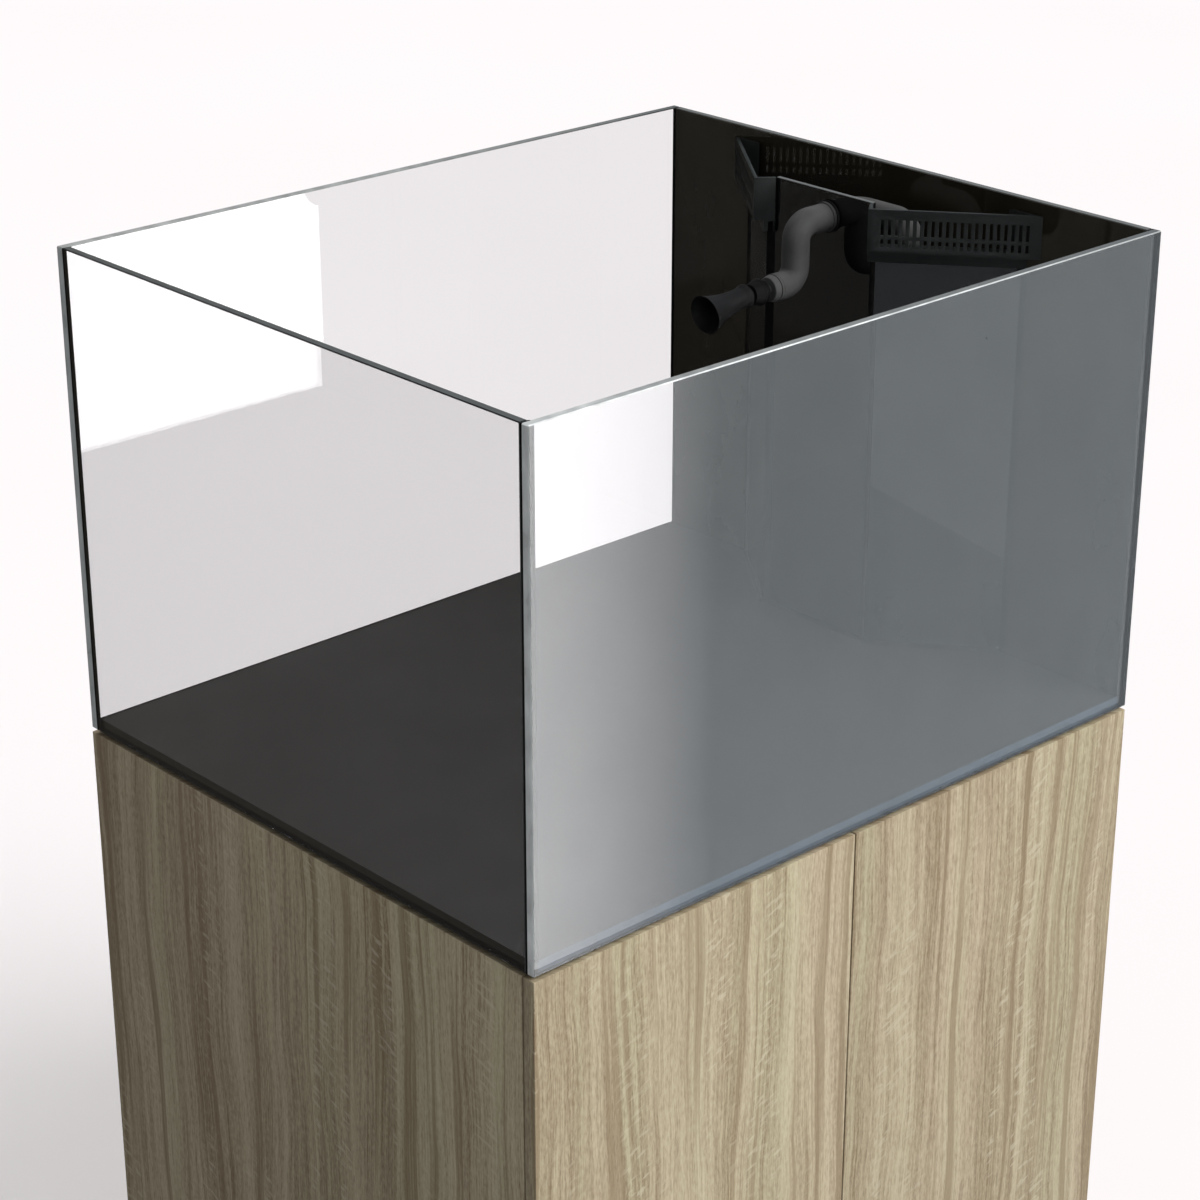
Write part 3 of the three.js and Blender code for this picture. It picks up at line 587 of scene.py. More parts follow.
def rod(radius, low, high):
    """The profile of a solid rod."""
    return [(0, low), (radius, low), (radius, high), (0, high)]


def tube(inner, outer, low, high):
    """The profile of a straight tube."""
    return [(inner, low), (outer, low), (outer, high), (inner, high), (inner, low)]


def spun(centre, share, axis="Z"):
    """A place at centre, turned by a share of a full turn."""
    return Matrix.Translation(centre) @ Matrix.Rotation(FULL_TURN * share, 4, axis)


def band(bm, lower, upper):
    """Adds the faces between two like rings of vertices. A ring may be one vertex, repeated."""
    for k in range(len(lower)):
        j = (k + 1) % len(lower)
        corners = [lower[k], lower[j], upper[j], upper[k]]
        corners = [v for i, v in enumerate(corners) if v not in corners[:i]]
        if len(corners) > 2:
            bm.faces.new(corners)


def solid_between(bm, first, last):
    """Adds the closed solid between two like rings of points."""
    first, last = ([bm.verts.new(point) for point in ring] for ring in (first, last))
    bm.faces.new(first[::-1])
    bm.faces.new(last)
    band(bm, first, last)
    return bm


def turned(bm, profile, centre=(0, 0, 0), aim=AIM_Z, sides=FINE, edge=0.6 * MM):
    """Adds a profile of (radius, height) points turned about an axis through centre."""
    if edge:
        profile = rounded(profile, edge)
    closed = is_closed(profile)
    if closed:
        profile = profile[:-1]
    place = Matrix.Translation(Vector(centre)) @ aim
    rings = []
    for radius, height in profile:
        if radius < 1e-7:
            rings.append([bm.verts.new(place @ Vector((0, 0, height)))] * sides)
            continue
        ring = []
        for k in range(sides):
            angle = FULL_TURN * k / sides
            point = Vector((radius * math.cos(angle), radius * math.sin(angle), height))
            ring.append(bm.verts.new(place @ point))
        rings.append(ring)
    pairs = list(zip(rings, rings[1:]))
    if closed:
        pairs.append((rings[-1], rings[0]))
    for lower, upper in pairs:
        band(bm, lower, upper)
    return bm


def route(corners, bend, steps=14):
    """Points along a route whose corners are rounded to a bend radius."""
    points = [Vector(c) for c in corners]
    stations = [points[0]]
    for before, here, after in zip(points, points[1:], points[2:]):
        into = (here - before).normalized()
        out = (after - here).normalized()
        angle = into.angle(out)
        start = here - into * bend * math.tan(angle / 2)
        centre = start + (out - into * out.dot(into)).normalized() * bend
        axis = into.cross(out).normalized()
        for k in range(steps + 1):
            turn = Matrix.Rotation(angle * k / steps, 3, axis)
            stations.append(centre + turn @ (start - centre))
    stations.append(points[-1])
    return stations


def swept(bm, stations, outer, inner, sides=FINE):
    """Adds a round tube along the stations, closed at its ends."""
    tangents = []
    for i in range(len(stations)):
        ahead = stations[min(i + 1, len(stations) - 1)]
        behind = stations[max(i - 1, 0)]
        tangents.append((ahead - behind).normalized())
    normal = tangents[0].orthogonal().normalized()
    skins = []
    for radius in (outer, inner):
        across = normal
        rings = []
        for place, tangent in zip(stations, tangents):
            across = (across - tangent * across.dot(tangent)).normalized()
            up = tangent.cross(across)
            ring = []
            for k in range(sides):
                angle = FULL_TURN * k / sides
                spoke = across * math.cos(angle) + up * math.sin(angle)
                ring.append(bm.verts.new(place + spoke * radius))
            rings.append(ring)
        for lower, upper in zip(rings, rings[1:]):
            band(bm, lower, upper)
        skins.append(rings)
    for end in (0, -1):
        band(bm, skins[0][end], skins[1][end])
    return bm


def box_into(bm, low, high, width=0.0, segments=2, place=AIM_Z):
    """Adds a box from its two corners, with rounded edges."""
    low, high = Vector(low), Vector(high)
    size = high - low
    transform = place @ Matrix.Translation((low + high) / 2) @ Matrix.Diagonal((*size, 1))
    made = bmesh.ops.create_cube(bm, size=1.0, matrix=transform)
    if width:
        bevel(bm, list({e for v in made["verts"] for e in v.link_edges}), width, segments)
    return bm


def poured_into(bm, part):
    """Adds one bmesh to another and frees it."""
    mesh = bpy.data.meshes.new("part")
    part.to_mesh(mesh)
    part.free()
    bm.from_mesh(mesh)


def prism_into(bm, outline, z0, z1):
    """Adds a plan outline raised from one height to another."""
    return solid_between(bm, [(x, y, z0) for x, y in outline], [(x, y, z1) for x, y in outline])


def cut_by(bm, *tools):
    """The solid less the tools, each a bmesh."""
    for tool in tools:
        pair = []
        for name, source in (("cut_body", bm), ("cut_tool", tool)):
            bmesh.ops.recalc_face_normals(source, faces=source.faces)
            mesh = bpy.data.meshes.new(name)
            source.to_mesh(mesh)
            source.free()
            pair.append(placed(name, mesh))
        modifier = pair[0].modifiers.new("cut", "BOOLEAN")
        modifier.operation = "DIFFERENCE"
        modifier.solver = "EXACT"
        modifier.object = pair[1]
        graph = bpy.context.evaluated_depsgraph_get()
        result = bpy.data.meshes.new_from_object(pair[0].evaluated_get(graph))
        bm = bmesh.new()
        bm.from_mesh(result)
        for obj in pair:
            bpy.data.objects.remove(obj)
    return bm


def fillet(corner, along_a, along_b, size, steps=6):
    """Plan points of a concave bead in a corner, from one wall round to the other."""
    corner, a, b = Vector(corner), Vector(along_a), Vector(along_b)
    centre = corner + (a + b) * size
    arc = []
    for k in range(steps + 1):
        angle = math.pi / 2 * k / steps
        arc.append(tuple(centre - b * size * math.cos(angle) - a * size * math.sin(angle)))
    return [tuple(corner), *arc]


# ---------------------------------------------------------------- tank

SEAM = 2 * MM  # silicone between two panes
BEAD = 1.5 * MM  # silicone fillet in a corner
HAIR = 0.2 * MM  # what a piece keeps clear of its neighbour


def add_tank():
    # Each pane's edges get painted lit and shaded tones: the rear pane's are darker than the front's, and
    # the left pane's are painted in shade.
    edges = {
        "front": [FRONT_TOP_PAINTED_LIT, PANE_END_PAINTED_LIT, FAR_END_PAINTED_SHADE, PANE_FOOT_PAINTED_SHADE, TOP_ARRIS_PAINTED_HIGHLIGHT, SIDE_ARRIS_PAINTED_HALF_SHADE],
        "rear": [REAR_TOP_PAINTED_HALF_SHADE, REAR_END_PAINTED_HALF_SHADE, FAR_END_PAINTED_SHADE, PANE_FOOT_PAINTED_SHADE, REAR_TOP_PAINTED_HALF_SHADE, REAR_END_PAINTED_HALF_SHADE],
        "left_end": [LEFT_TOP_PAINTED_SHADE, *[PANE_FOOT_PAINTED_SHADE] * 5],
    }
    for name, materials in edges.items():
        pane(f"tank_{name}_pane", [PANE, *materials], clear_edge)
    pane("tank_black_end_pane", [WALL_PANE_PAINTED_REFLECTION, BLACK_EDGE, WALL_TOP_PAINTED_LIT], black_edge)
    refined("tank_floor_pane", [FLOOR_PANE], 0.8 * MM, 1)
    refined("levelling_mat", [FOAM], 0.6 * MM)


def add_corner_seals():
    """The seam between a long pane and an end pane, and its fillet inside the corner."""
    x, y = INSIDE_HIGH.x - HAIR, INSIDE_HIGH.y - HAIR
    recess = 0.3 * MM  # the seam stays this far inside the glass
    seam = [(x, y - SEAM + HAIR), (TANK_HIGH.x - recess, y - SEAM + HAIR), (TANK_HIGH.x - recess, y)]
    bead = fillet((x, y), (-1, 0), (0, -1), BEAD)[1:]
    for side, sx in (("left", -1), ("right", 1)):
        for end, sy in (("front", -1), ("rear", 1)):
            node = f"corner_seal_{end}_{side}"
            low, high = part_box(node)
            above = [(px * sx, py * sy) for px, py in bead[::-1] + seam]
            beside = [(px * sx, py * sy) for px, py in [(x, y), *seam]]
            bm = prism_into(bmesh.new(), above, low.z, high.z - recess)
            prism_into(bm, beside, TANK_LOW.z + HAIR, low.z - HAIR)
            stand_for(node, bm, [SILICONE])


def add_floor_seal():
    """The silicone round the floor pane: the seam beside it and the fillet over it."""
    gap = FLOOR_GLASS_LOW.x - INSIDE_LOW.x
    section = [(0, TANK_LOW.z + HAIR), (gap, TANK_LOW.z + HAIR), (gap, TANK_FLOOR_Z)]
    for d, z in fillet((0, TANK_FLOOR_Z), (1, 0), (0, 1), BEAD)[1:]:
        section.append((max(d, HAIR), z))
    bm = bmesh.new()
    rings = []
    for inset, z in section:
        low, high = INSIDE_LOW, INSIDE_HIGH
        corners = [(low.x + inset, low.y + inset), (high.x - inset, low.y + inset),
                   (high.x - inset, high.y - inset), (low.x + inset, high.y - inset)]
        rings.append([bm.verts.new((x, y, z)) for x, y in corners])
    for lower, upper in zip(rings, rings[1:] + rings[:1]):
        band(bm, lower, upper)
    # The run along the front pane takes a bluish painted sheen, a lit line seen through the glass.
    front = INSIDE_LOW.y + BEAD + HAIR
    for face in bm.faces:
        face.material_index = int(all(v.co.y < front for v in face.verts))
    piece("floor_seal", bm, [SILICONE, FRONT_SILICONE_PAINTED_SHEEN], "aquarium")


# ---------------------------------------------------------------- weir


WING_NEAR = 8 * MM  # where the wing glass starts along the comb
WING_FACE = 17.2 * MM  # depth of its tank side
WING_GLASS = 6 * MM
COMB_DEPTH = 25 * MM


def wing_plan(mirror):
    """A wing in plan: its tank side's near edge, unit vectors along it and into the weir, its length."""
    along = Vector((math.cos(WING_ANGLE), -math.sin(WING_ANGLE) * mirror))
    inward = Vector((math.sin(WING_ANGLE), math.cos(WING_ANGLE) * mirror))
    near_y = COMB_HIGH.y - COMB_DEPTH * math.cos(WING_ANGLE)
    corner = Vector((COMB_LOW.x, WEIR_Y + (near_y - WEIR_Y) * mirror))
    outer = corner + along * WING_NEAR + inward * WING_FACE
    return outer, along, inward, (INSIDE_HIGH.x - outer.x) / along.x


def add_weir():
    pane("weir_centre_panel", [PANEL_PANE_PAINTED_SHADE, SILICONE, WEIR_TOP_PAINTED_LIT], black_edge, 0.8 * MM)
    for side in ("front", "rear"):
        pane(f"weir_{side}_wing", [BLACK_PANE_PAINTED_LIT, SILICONE, WEIR_TOP_PAINTED_LIT], black_edge, 0.8 * MM)
        refined(f"weir_{side}_comb", [BLACK_PLASTIC], 0.45 * MM)


def weir_silicone(name, outline, top):
    bm = prism_into(bmesh.new(), outline, TANK_FLOOR_Z, top)
    piece(name, bm, [SILICONE], "aquarium")


def add_weir_seals():
    """Silicone between the centre panel and a wing, and where a wing meets the wall."""
    for side, mirror in (("front", 1), ("rear", -1)):
        outer, along, inward, length = wing_plan(mirror)
        inner = outer + inward * WING_GLASS
        edge_y = WEIR_Y - (PANEL_HIGH.y - PANEL_LOW.y) / 2 * mirror
        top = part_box(f"weir_{side}_wing")[1].z - 1 * MM
        # The strip is drawn in at its tank side, as a tooled joint is.
        drawn_in = Vector((PANEL_LOW.x + 1.2 * MM, edge_y)).lerp(outer, 0.5) + inward * 0.8 * MM
        seam = [(PANEL_LOW.x + 0.8 * MM, edge_y), drawn_in, outer + inward * 0.8 * MM, inner,
                (PANEL_HIGH.x, edge_y)]
        weir_silicone(f"weir_{side}_seam", seam, top)

        wall = outer + along * length
        back = 4 * MM
        on_wing = wall - along * back
        on_wall = wall + Vector((0, -mirror * back * 0.9))
        hollow = (on_wing + on_wall) / 2 * 0.55 + wall * 0.45
        weir_silicone(f"weir_{side}_wall_bead", [wall, on_wing, hollow, on_wall], top)


def bead_along(bm, start, end, out, size):
    """Adds a concave bead on the floor from start to end, spreading towards out."""
    section = fillet((0, 0), (1, 0), (0, 1), size)
    rings = []
    for place in (Vector(start), Vector(end)):
        points = [(place + Vector(out) * max(d, 0.0), z) for d, z in section]
        rings.append([(point.x, point.y, TANK_FLOOR_Z + z) for point, z in points])
    solid_between(bm, *rings)


def add_weir_floor_bead():
    size = 4 * MM
    bm = bmesh.new()
    half = (PANEL_HIGH.y - PANEL_LOW.y) / 2
    bead_along(bm, (PANEL_LOW.x, WEIR_Y - half), (PANEL_LOW.x, WEIR_Y + half), (-1, 0), size)
    for mirror in (1, -1):
        outer, along, inward, length = wing_plan(mirror)
        bead_along(bm, outer, outer + along * (length - 2 * MM), -inward, size)
    piece("weir_floor_bead", bm, [SILICONE], "aquarium")


# ---------------------------------------------------------------- return outlet


def add_outlet():
    panel, inside = PANEL_LOW.x, PANEL_HIGH.x
    place = (0, OUTLET.y, OUTLET.z)
    start = in_mm([(10, -15)], panel)
    flange = in_mm([(12.2, -15), (12.2, -3), (19, -3), (19, -0.3), (12.2, -0.3)], panel)
    barrel = in_mm([(12.2, 15), (10, 15)], inside)
    profile = [*start, *flange, *barrel, *start]
    stand_for("outlet_bulkhead", turned(bmesh.new(), profile, place, AIM_X), [SATIN_BLACK])
    add_hex_nut("outlet_bulkhead_nut", inside + 0.3 * MM, inside + 9 * MM, 42 * MM, 13 * MM, place,
                AIM_X)
    add_outlet_pipe(panel)
    add_ring_and_ball()
    add_nozzle_socket()
    add_nozzle()


def add_hex_nut(node, low, high, across, bore, centre, aim):
    """A hexagon nut with its corners turned down."""
    bm = turned(bmesh.new(), rod(across / 2, low, high), centre, aim, 6, 0)
    round_edges(bm, 1.2 * MM)
    hole = turned(bmesh.new(), rod(bore, low - 1, high + 1), centre, aim, MEDIUM, 0)
    stand_for(node, cut_by(bm, hole), [SATIN_BLACK])


DROP_X = 290 * MM
PIPE_END_X = 258 * MM
RIM_RADIUS = 17.5 * MM  # the rim at the panel
RIM_LENGTH = 4 * MM


def add_outlet_pipe(panel):
    """The S-shaped pipe from the bulkhead down to the nozzle's level, with a rim at the panel."""
    start = panel - 3.3 * MM
    y = OUTLET.y
    corners = [(start, y, OUTLET.z), (DROP_X, y, OUTLET.z), (DROP_X, y, NOZZLE_AXIS.z),
               (PIPE_END_X, y, NOZZLE_AXIS.z)]
    bm = swept(bmesh.new(), route(corners, PIPE_BEND), PIPE_OUTER, PIPE_INNER)
    rim = tube(PIPE_OUTER - HAIR, RIM_RADIUS, start - RIM_LENGTH, start)
    turned(bm, rim, (0, y, OUTLET.z), AIM_X, edge=0.8 * MM)
    stand_for("outlet_pipe", bm, [GREY_PVC])


BALL_X = 232 * MM
BALL_RADIUS = 10.5 * MM
STEM_RADIUS = 6.5 * MM
STEM_BORE = 5 * MM


def ball_arc(radius, centre, start, end, steps=14):
    """Profile points (radius, height) of a ball between two angles from its axis."""
    arc = []
    for k in range(steps + 1):
        angle = start + (end - start) * k / steps
        arc.append((radius * math.sin(angle), centre + radius * math.cos(angle)))
    return arc


def add_ring_and_ball():
    """The tapered ring on the pipe's end, with a groove where it meets the pipe, its stem and ball."""
    end = PIPE_END_X - 0.3 * MM
    bare = math.asin(STEM_BORE / BALL_RADIUS)
    neck = math.asin(STEM_RADIUS / BALL_RADIUS)
    ball = ball_arc(BALL_RADIUS, BALL_X, math.pi - bare, neck)
    cover = [(6.5, -12), (13.5, -12), (14.2, -11.2), (14.8, -8.5), (15.6, -4.6), (14.7, -4.2),
             (14.7, -3.4), (16, -3.0), (16, 0)]
    tail = [(12.9, 0), (12.9, 10), (5, 10)]
    profile = [*ball, *in_mm(cover + tail, end), ball[0]]
    bm = turned(bmesh.new(), profile, (0, NOZZLE_AXIS.y, NOZZLE_AXIS.z), AIM_X, edge=0.15 * MM)
    stand_for("outlet_ring", bm, [GREY_PVC])


NECK_X = 209 * MM
NECK_RADIUS = 9 * MM


def add_nozzle_socket():
    """The socket round the pan ball: a threaded barrel, a ribbed cone with a brim, the tilt ball."""
    play = 0.6 * MM
    bore = 5 * MM
    tilt_start = math.pi - math.asin(bore / NECK_RADIUS)
    tilt = ball_arc(NECK_RADIUS, NECK_X, tilt_start, math.asin(7.5 * MM / NECK_RADIUS))
    grip = [(7.5, -14), (11.2, -14), (11.6, -12.5), (14.9, -3.4), (15.6, -2.6), (15.6, -1.2),
            (12.2, -1)]
    thread = []
    for i in range(4):
        start = -0.6 + 1.85 * i
        thread += [(12.0, start), (12.6, start + 0.5), (12.6, start + 1.1), (12.0, start + 1.6)]
    outside = in_mm([*grip, *thread, (12.2, 7)], BALL_X)
    room = BALL_RADIUS + play
    mouth = 9 * MM
    cavity = ball_arc(room, BALL_X, math.asin(mouth / room), math.pi - math.asin(bore / room))
    profile = [*tilt, *outside, (mouth, BALL_X + 7 * MM), *cavity, (bore, NECK_X - NECK_RADIUS), tilt[0]]
    place = (0, NOZZLE_AXIS.y, NOZZLE_AXIS.z)
    bm = turned(bmesh.new(), profile, place, AIM_X, edge=0.2 * MM)
    on_cone = Matrix.Translation((BALL_X - 8 * MM, 13.1 * MM, 0)) @ Matrix.Rotation(0.35, 4, "Z")
    ribs = 28
    low, high = Vector((-3.6, -0.5, -0.45)) * MM, Vector((3.6, 0.25, 0.45)) * MM
    for k in range(ribs):
        box_into(bm, low, high, 0.2 * MM, 1, spun(place, (k + 0.5) / ribs, "X") @ on_cone)
    stand_for("nozzle_socket", bm, [SOCKET_BLACK])


NOZZLE_TILT = math.radians(8)
NOZZLE_LENGTH = 62 * MM


def add_nozzle():
    """The trumpet, thin-walled with a rolled lip, on its cup and a stepped collar."""
    def flare(t):
        return (12.3 + 10.4 * t**2.2) * MM

    first, wall, steps = 6 * MM, 1.8 * MM, 18
    outside, inside = [], []
    for i in range(steps + 1):
        t = i / steps
        height = first + (NOZZLE_LENGTH - first) * t
        outside.append((flare(t), height))
        inside.insert(0, (flare(t) - wall * (1 - 0.35 * t), height))
    lip = (flare(1) - 0.6 * MM, NOZZLE_LENGTH + 0.2 * MM)
    cup = in_mm([(9.8, -4), (11.0, -4), (13.6, -2.3), (14.0, -1.6), (13.8, 1), (13.0, 3.5)])
    profile = [*cup, *outside, lip, *inside, *in_mm([(9.8, 5), (9.8, -4)])]
    aim = Matrix.Rotation(-math.pi / 2 - NOZZLE_TILT, 4, "Y")
    bm = turned(bmesh.new(), profile, (NECK_X, NOZZLE_AXIS.y, NOZZLE_AXIS.z), aim, edge=0.12 * MM)
    stand_for("return_nozzle", bm, [NOZZLE_BLACK])


# ---------------------------------------------------------------- pipes and fittings


def ribs_round(bm, centre, count, low, high, width):
    """Adds ribs at even steps round an upright axis. low and high are the first rib's corners."""
    for k in range(count):
        box_into(bm, low, high, width, 1, spun(centre, k / count))


def add_floor_fittings():
    """The two bulkheads through the floor pane: ribbed collar and flange above, nut below."""
    seat = TANK_FLOOR_Z + 0.3 * MM
    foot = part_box("return_bulkhead")[0].z
    rim = seat + 5 * MM
    collar = seat + 16 * MM
    sizes = {
        "return": (RETURN_Y, 25, 19.6, 13.2, 16.6, 54),
        "drain": (DRAIN_Y, 30, 20.2, 15, 16, 66),
    }
    for name, (y, flange, barrel, bore, socket, nut) in sizes.items():
        centre = (PLUMB_X, y, 0)
        profile = [(bore, rim), (socket, rim), (socket, collar), (socket + 4, collar), (socket + 4, rim),
                   (flange, seat + 4 * MM), (flange, seat), (barrel, seat), (barrel, foot), (socket, foot),
                   (socket, foot + 18 * MM), (bore, foot + 18 * MM), (bore, rim)]
        bm = turned(bmesh.new(), wide_mm(profile), centre, edge=0.5 * MM)
        low = ((socket + 3.6) * MM, -1.1 * MM, seat + 4.4 * MM)
        high = ((socket + 5.2) * MM, 1.1 * MM, seat + 13 * MM)
        ribs_round(bm, centre, 12, low, high, 0.4 * MM)
        stand_for(f"{name}_bulkhead", bm, [SATIN_BLACK])
        node = f"{name}_bulkhead_nut"
        low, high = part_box(node)
        add_hex_nut(node, low.z, high.z, nut * MM, (barrel + 0.2) * MM, centre, AIM_Z)


def add_pipe_runs():
    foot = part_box("return_riser")[0].z
    corners = [(PLUMB_X, RETURN_Y, foot), (PLUMB_X, RETURN_Y, OUTLET.z), (PLUMB_X, OUTLET.y, OUTLET.z),
               (PANEL_HIGH.x + 10 * MM, OUTLET.y, OUTLET.z)]
    bm = swept(bmesh.new(), route(corners, PIPE_BEND), PIPE_OUTER, PIPE_INNER)
    stand_for("return_riser", bm, [GREY_PVC])

    low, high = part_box("return_feed_pipe")
    pump_x = low.x + PIPE_OUTER
    across_z = 600 * MM
    wide_bend = 36 * MM
    corners = [(pump_x, RETURN_Y, low.z), (pump_x, RETURN_Y, across_z), (PLUMB_X, RETURN_Y, across_z),
               (PLUMB_X, RETURN_Y, high.z)]
    bm = swept(bmesh.new(), route(corners, wide_bend), PIPE_OUTER, PIPE_INNER)
    stand_for("return_feed_pipe", bm, [GREY_PVC])


DRAIN = Vector((PLUMB_X, DRAIN_Y, 0))


def add_drain():
    """The standpipe, the slotted cap over it, and the pipe from the valve down to the sump."""
    low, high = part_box("drain_standpipe")
    step = low.z + 11 * MM
    profile = [(13, low.z), (15.4, low.z), (15.4, step), (20, step), (20, high.z), (17, high.z),
               (13, step), (13, low.z)]
    bm = turned(bmesh.new(), wide_mm(profile), DRAIN, edge=0.4 * MM)
    stand_for("drain_standpipe", bm, [GREY_PVC])

    low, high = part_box("drain_strainer")
    inner, roof = 20.6, high.z - 3 * MM
    profile = [(inner, low.z), (23.4, low.z), (23.4, low.z + 9 * MM), (22.9, low.z + 10 * MM),
               (22.9, high.z), (0, high.z), (0, roof), (inner, roof), (inner, low.z)]
    body = turned(bmesh.new(), wide_mm(profile), DRAIN, edge=0.5 * MM)
    slots = 12
    slot_low = (-30 * MM, -2 * MM, high.z - 38 * MM)
    slot_high = (30 * MM, 2 * MM, high.z - 8 * MM)
    tools = [box_into(bmesh.new(), slot_low, slot_high, 1.2 * MM, 2, spun(DRAIN, k / slots))
             for k in range(slots // 2)]
    stand_for("drain_strainer", cut_by(body, *tools), [SATIN_BLACK])

    low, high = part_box("drain_downpipe")
    bm = turned(bmesh.new(), wide_mm(tube(17, 20, low.z, high.z)), DRAIN, edge=0.4 * MM)
    stand_for("drain_downpipe", bm, [GREY_PVC])


def add_valve():
    """A ball valve with fluted union nuts, and its lever."""
    low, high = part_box("drain_valve")
    z = (low.z + high.z) / 2
    middle_of_valve = DRAIN + Vector((0, 0, z))
    seat, socket = low.z + 20 * MM, high.z - 7 * MM
    profile = [(15, seat), (20.6, seat), (20.6, low.z), (26, low.z), (26, z - 24 * MM), (31, z - 15 * MM),
               (31, z + 15 * MM), (26, z + 24 * MM), (26, high.z), (21, high.z), (21, socket),
               (15, socket), (15, seat)]
    bm = turned(bmesh.new(), wide_mm(profile), DRAIN, edge=0.8 * MM)
    for start, end in ((low.z + 2 * MM, z - 26 * MM), (z + 26 * MM, high.z - 2 * MM)):
        ribs_round(bm, DRAIN, 20, (25.6 * MM, -1.7 * MM, start), (27 * MM, 1.7 * MM, end), 0.5 * MM)
    turned(bm, in_mm(tube(5.3, 12, -43.9, -27)), middle_of_valve, AIM_Y, MEDIUM, 0.4 * MM)
    stand_for("drain_valve", bm, [GREY_PVC])

    hub = [(0, -58), (13, -58), (14, -55), (14, -44.3), (5, -44.3), (5, -27), (0, -27)]
    bm = turned(bmesh.new(), in_mm(hub), middle_of_valve, AIM_Y, MEDIUM, 0.7 * MM)
    for near, far in ((-38, -6), (6, 38)):
        arm_low = middle_of_valve + Vector((near, -57.6, -6)) * MM
        arm_high = middle_of_valve + Vector((far, -49, 6)) * MM
        box_into(bm, arm_low, arm_high, 2.4 * MM, 3)
    stand_for("drain_valve_handle", bm, [RED_PLASTIC])


# ---------------------------------------------------------------- cabinet

BOARD_EDGE = 0.7 * MM


def add_cabinet():
    boards = {
        "cabinet_left_side": ("Z", 13.1),
        "cabinet_right_side": ("Z", 37.7),
        "cabinet_back": ("Z", 61.9),
        "cabinet_top": ("X", 84.1),
        "cabinet_floor": ("X", 105.3),
        "door_left": ("Z", 126.2),
        "door_right": ("Z", 147.4),
    }
    for node, (along, seed) in boards.items():
        refined(node, [oak(f"oak_{node}", along, seed)], BOARD_EDGE)


def cross_screw(bm, centre, aim, radius, height):
    """Adds a countersunk screw head with its cross recess."""
    head = [(0, 0), (radius, 0), (radius, height * 0.35), (radius * 0.72, height), (0, height)]
    screw = turned(bmesh.new(), head, sides=24, edge=0.25 * MM)
    low = (-radius * 0.55, -0.4 * MM, height * 0.45)
    high = (radius * 0.55, 0.4 * MM, height * 2)
    for turn in (0, math.pi / 2):
        screw = cut_by(screw, box_into(bmesh.new(), low, high, place=Matrix.Rotation(turn, 4, "Z")))
    screw.transform(Matrix.Translation(Vector(centre)) @ aim)
    poured_into(bm, screw)


def add_hinges():
    for side, mirror in (("left", -1), ("right", 1)):
        for level in ("lower", "upper"):
            add_hinge_cup(f"hinge_cup_{level}_{side}", mirror)
            add_hinge_arm(f"hinge_arm_{level}_{side}", mirror)


def add_hinge_cup(node, mirror):
    """The pressed cup in the door with its rounded flange, two screws and folded links."""
    centre = middle(node)
    centre.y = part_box("door_left")[1].y  # the door's inner face

    def spot(x, y, z):
        return centre + Vector((x, y, z)) * MM

    cup = [(0, -11.7), (17.3, -11.7), (17.3, 0.4), (16.1, 0.4), (16.1, -10.7), (0, -10.7)]
    bm = turned(bmesh.new(), in_mm(cup), centre, AIM_Y, MEDIUM, 0.5 * MM)
    plate = box_into(bmesh.new(), spot(-11, 0.3, -29), spot(11, 1.2, 29))
    through = [e for e in plate.edges if abs((e.verts[0].co - e.verts[1].co).normalized().y) > STEEP]
    bmesh.ops.bevel(plate, geom=through, offset=6 * MM, segments=6, profile=0.5, affect="EDGES")
    hole = turned(bmesh.new(), in_mm(rod(16.1, -5, 5)), centre, AIM_Y, MEDIUM, 0)
    poured_into(bm, cut_by(plate, hole))
    for end in (-1, 1):
        cross_screw(bm, spot(0, 1, end * 23), AIM_Y, 3.6 * MM, 1.2 * MM)
        link = sorted((-mirror * 13, mirror * 4))
        low, high = spot(link[0], -9, end * 5.5 - 1), spot(link[1], -2, end * 5.5 + 1)
        box_into(bm, low, high, 0.4 * MM, 2)
    turned(bm, in_mm(rod(1.6, -7, 7)), spot(0, -5, 0), AIM_Z, 24, 0.2 * MM)
    stand_for(node, bm, [NICKEL])


def add_hinge_arm(node, mirror):
    """The plate on the cabinet side and the arm over it, each with two screws."""
    low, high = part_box(node)
    face = high.x if mirror > 0 else low.x
    into = -mirror
    z = (low.z + high.z) / 2

    def spot(x, y, height):
        return Vector((face + into * x * MM, low.y + y * MM, z + height * MM))

    bm = bmesh.new()
    for x0, x1, y0, y1, half, width in ((0, 1.6, 18, 62, 24, 0.6), (1.4, 4, 24, 58, 7.6, 0.6),
                                        (3, 13, 0, 66, 8, 1.6)):
        near, far = (x0, x1) if into > 0 else (x1, x0)
        box_into(bm, spot(near, y0, -half), spot(far, y1, half), width * MM)
    aim = Matrix.Rotation(into * math.pi / 2, 4, "Y")
    for y in (14, 46):
        cross_screw(bm, spot(11.7, y, 0), aim, 3.2 * MM, 1.2 * MM)
    for height in (-17, 17):
        cross_screw(bm, spot(1.4, 40, height), aim, 3.8 * MM, 1.4 * MM)
    stand_for(node, bm, [NICKEL])


def add_latches():
    for side in ("left", "right"):
        refined(f"latch_housing_{side}", [SATIN_BLACK], 0.8 * MM)
        node = f"latch_plunger_{side}"
        low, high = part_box(node)
        centre = middle(node)
        shoulder = low.y + 3.5 * MM
        tip = wide_mm([(0, low.y), (5.5, low.y), (5.5, shoulder), (4, shoulder), (4, high.y), (0, high.y)])
        bm = turned(bmesh.new(), tip, (centre.x, 0, centre.z), AIM_Y, MEDIUM)
        stand_for(node, bm, [SATIN_BLACK])


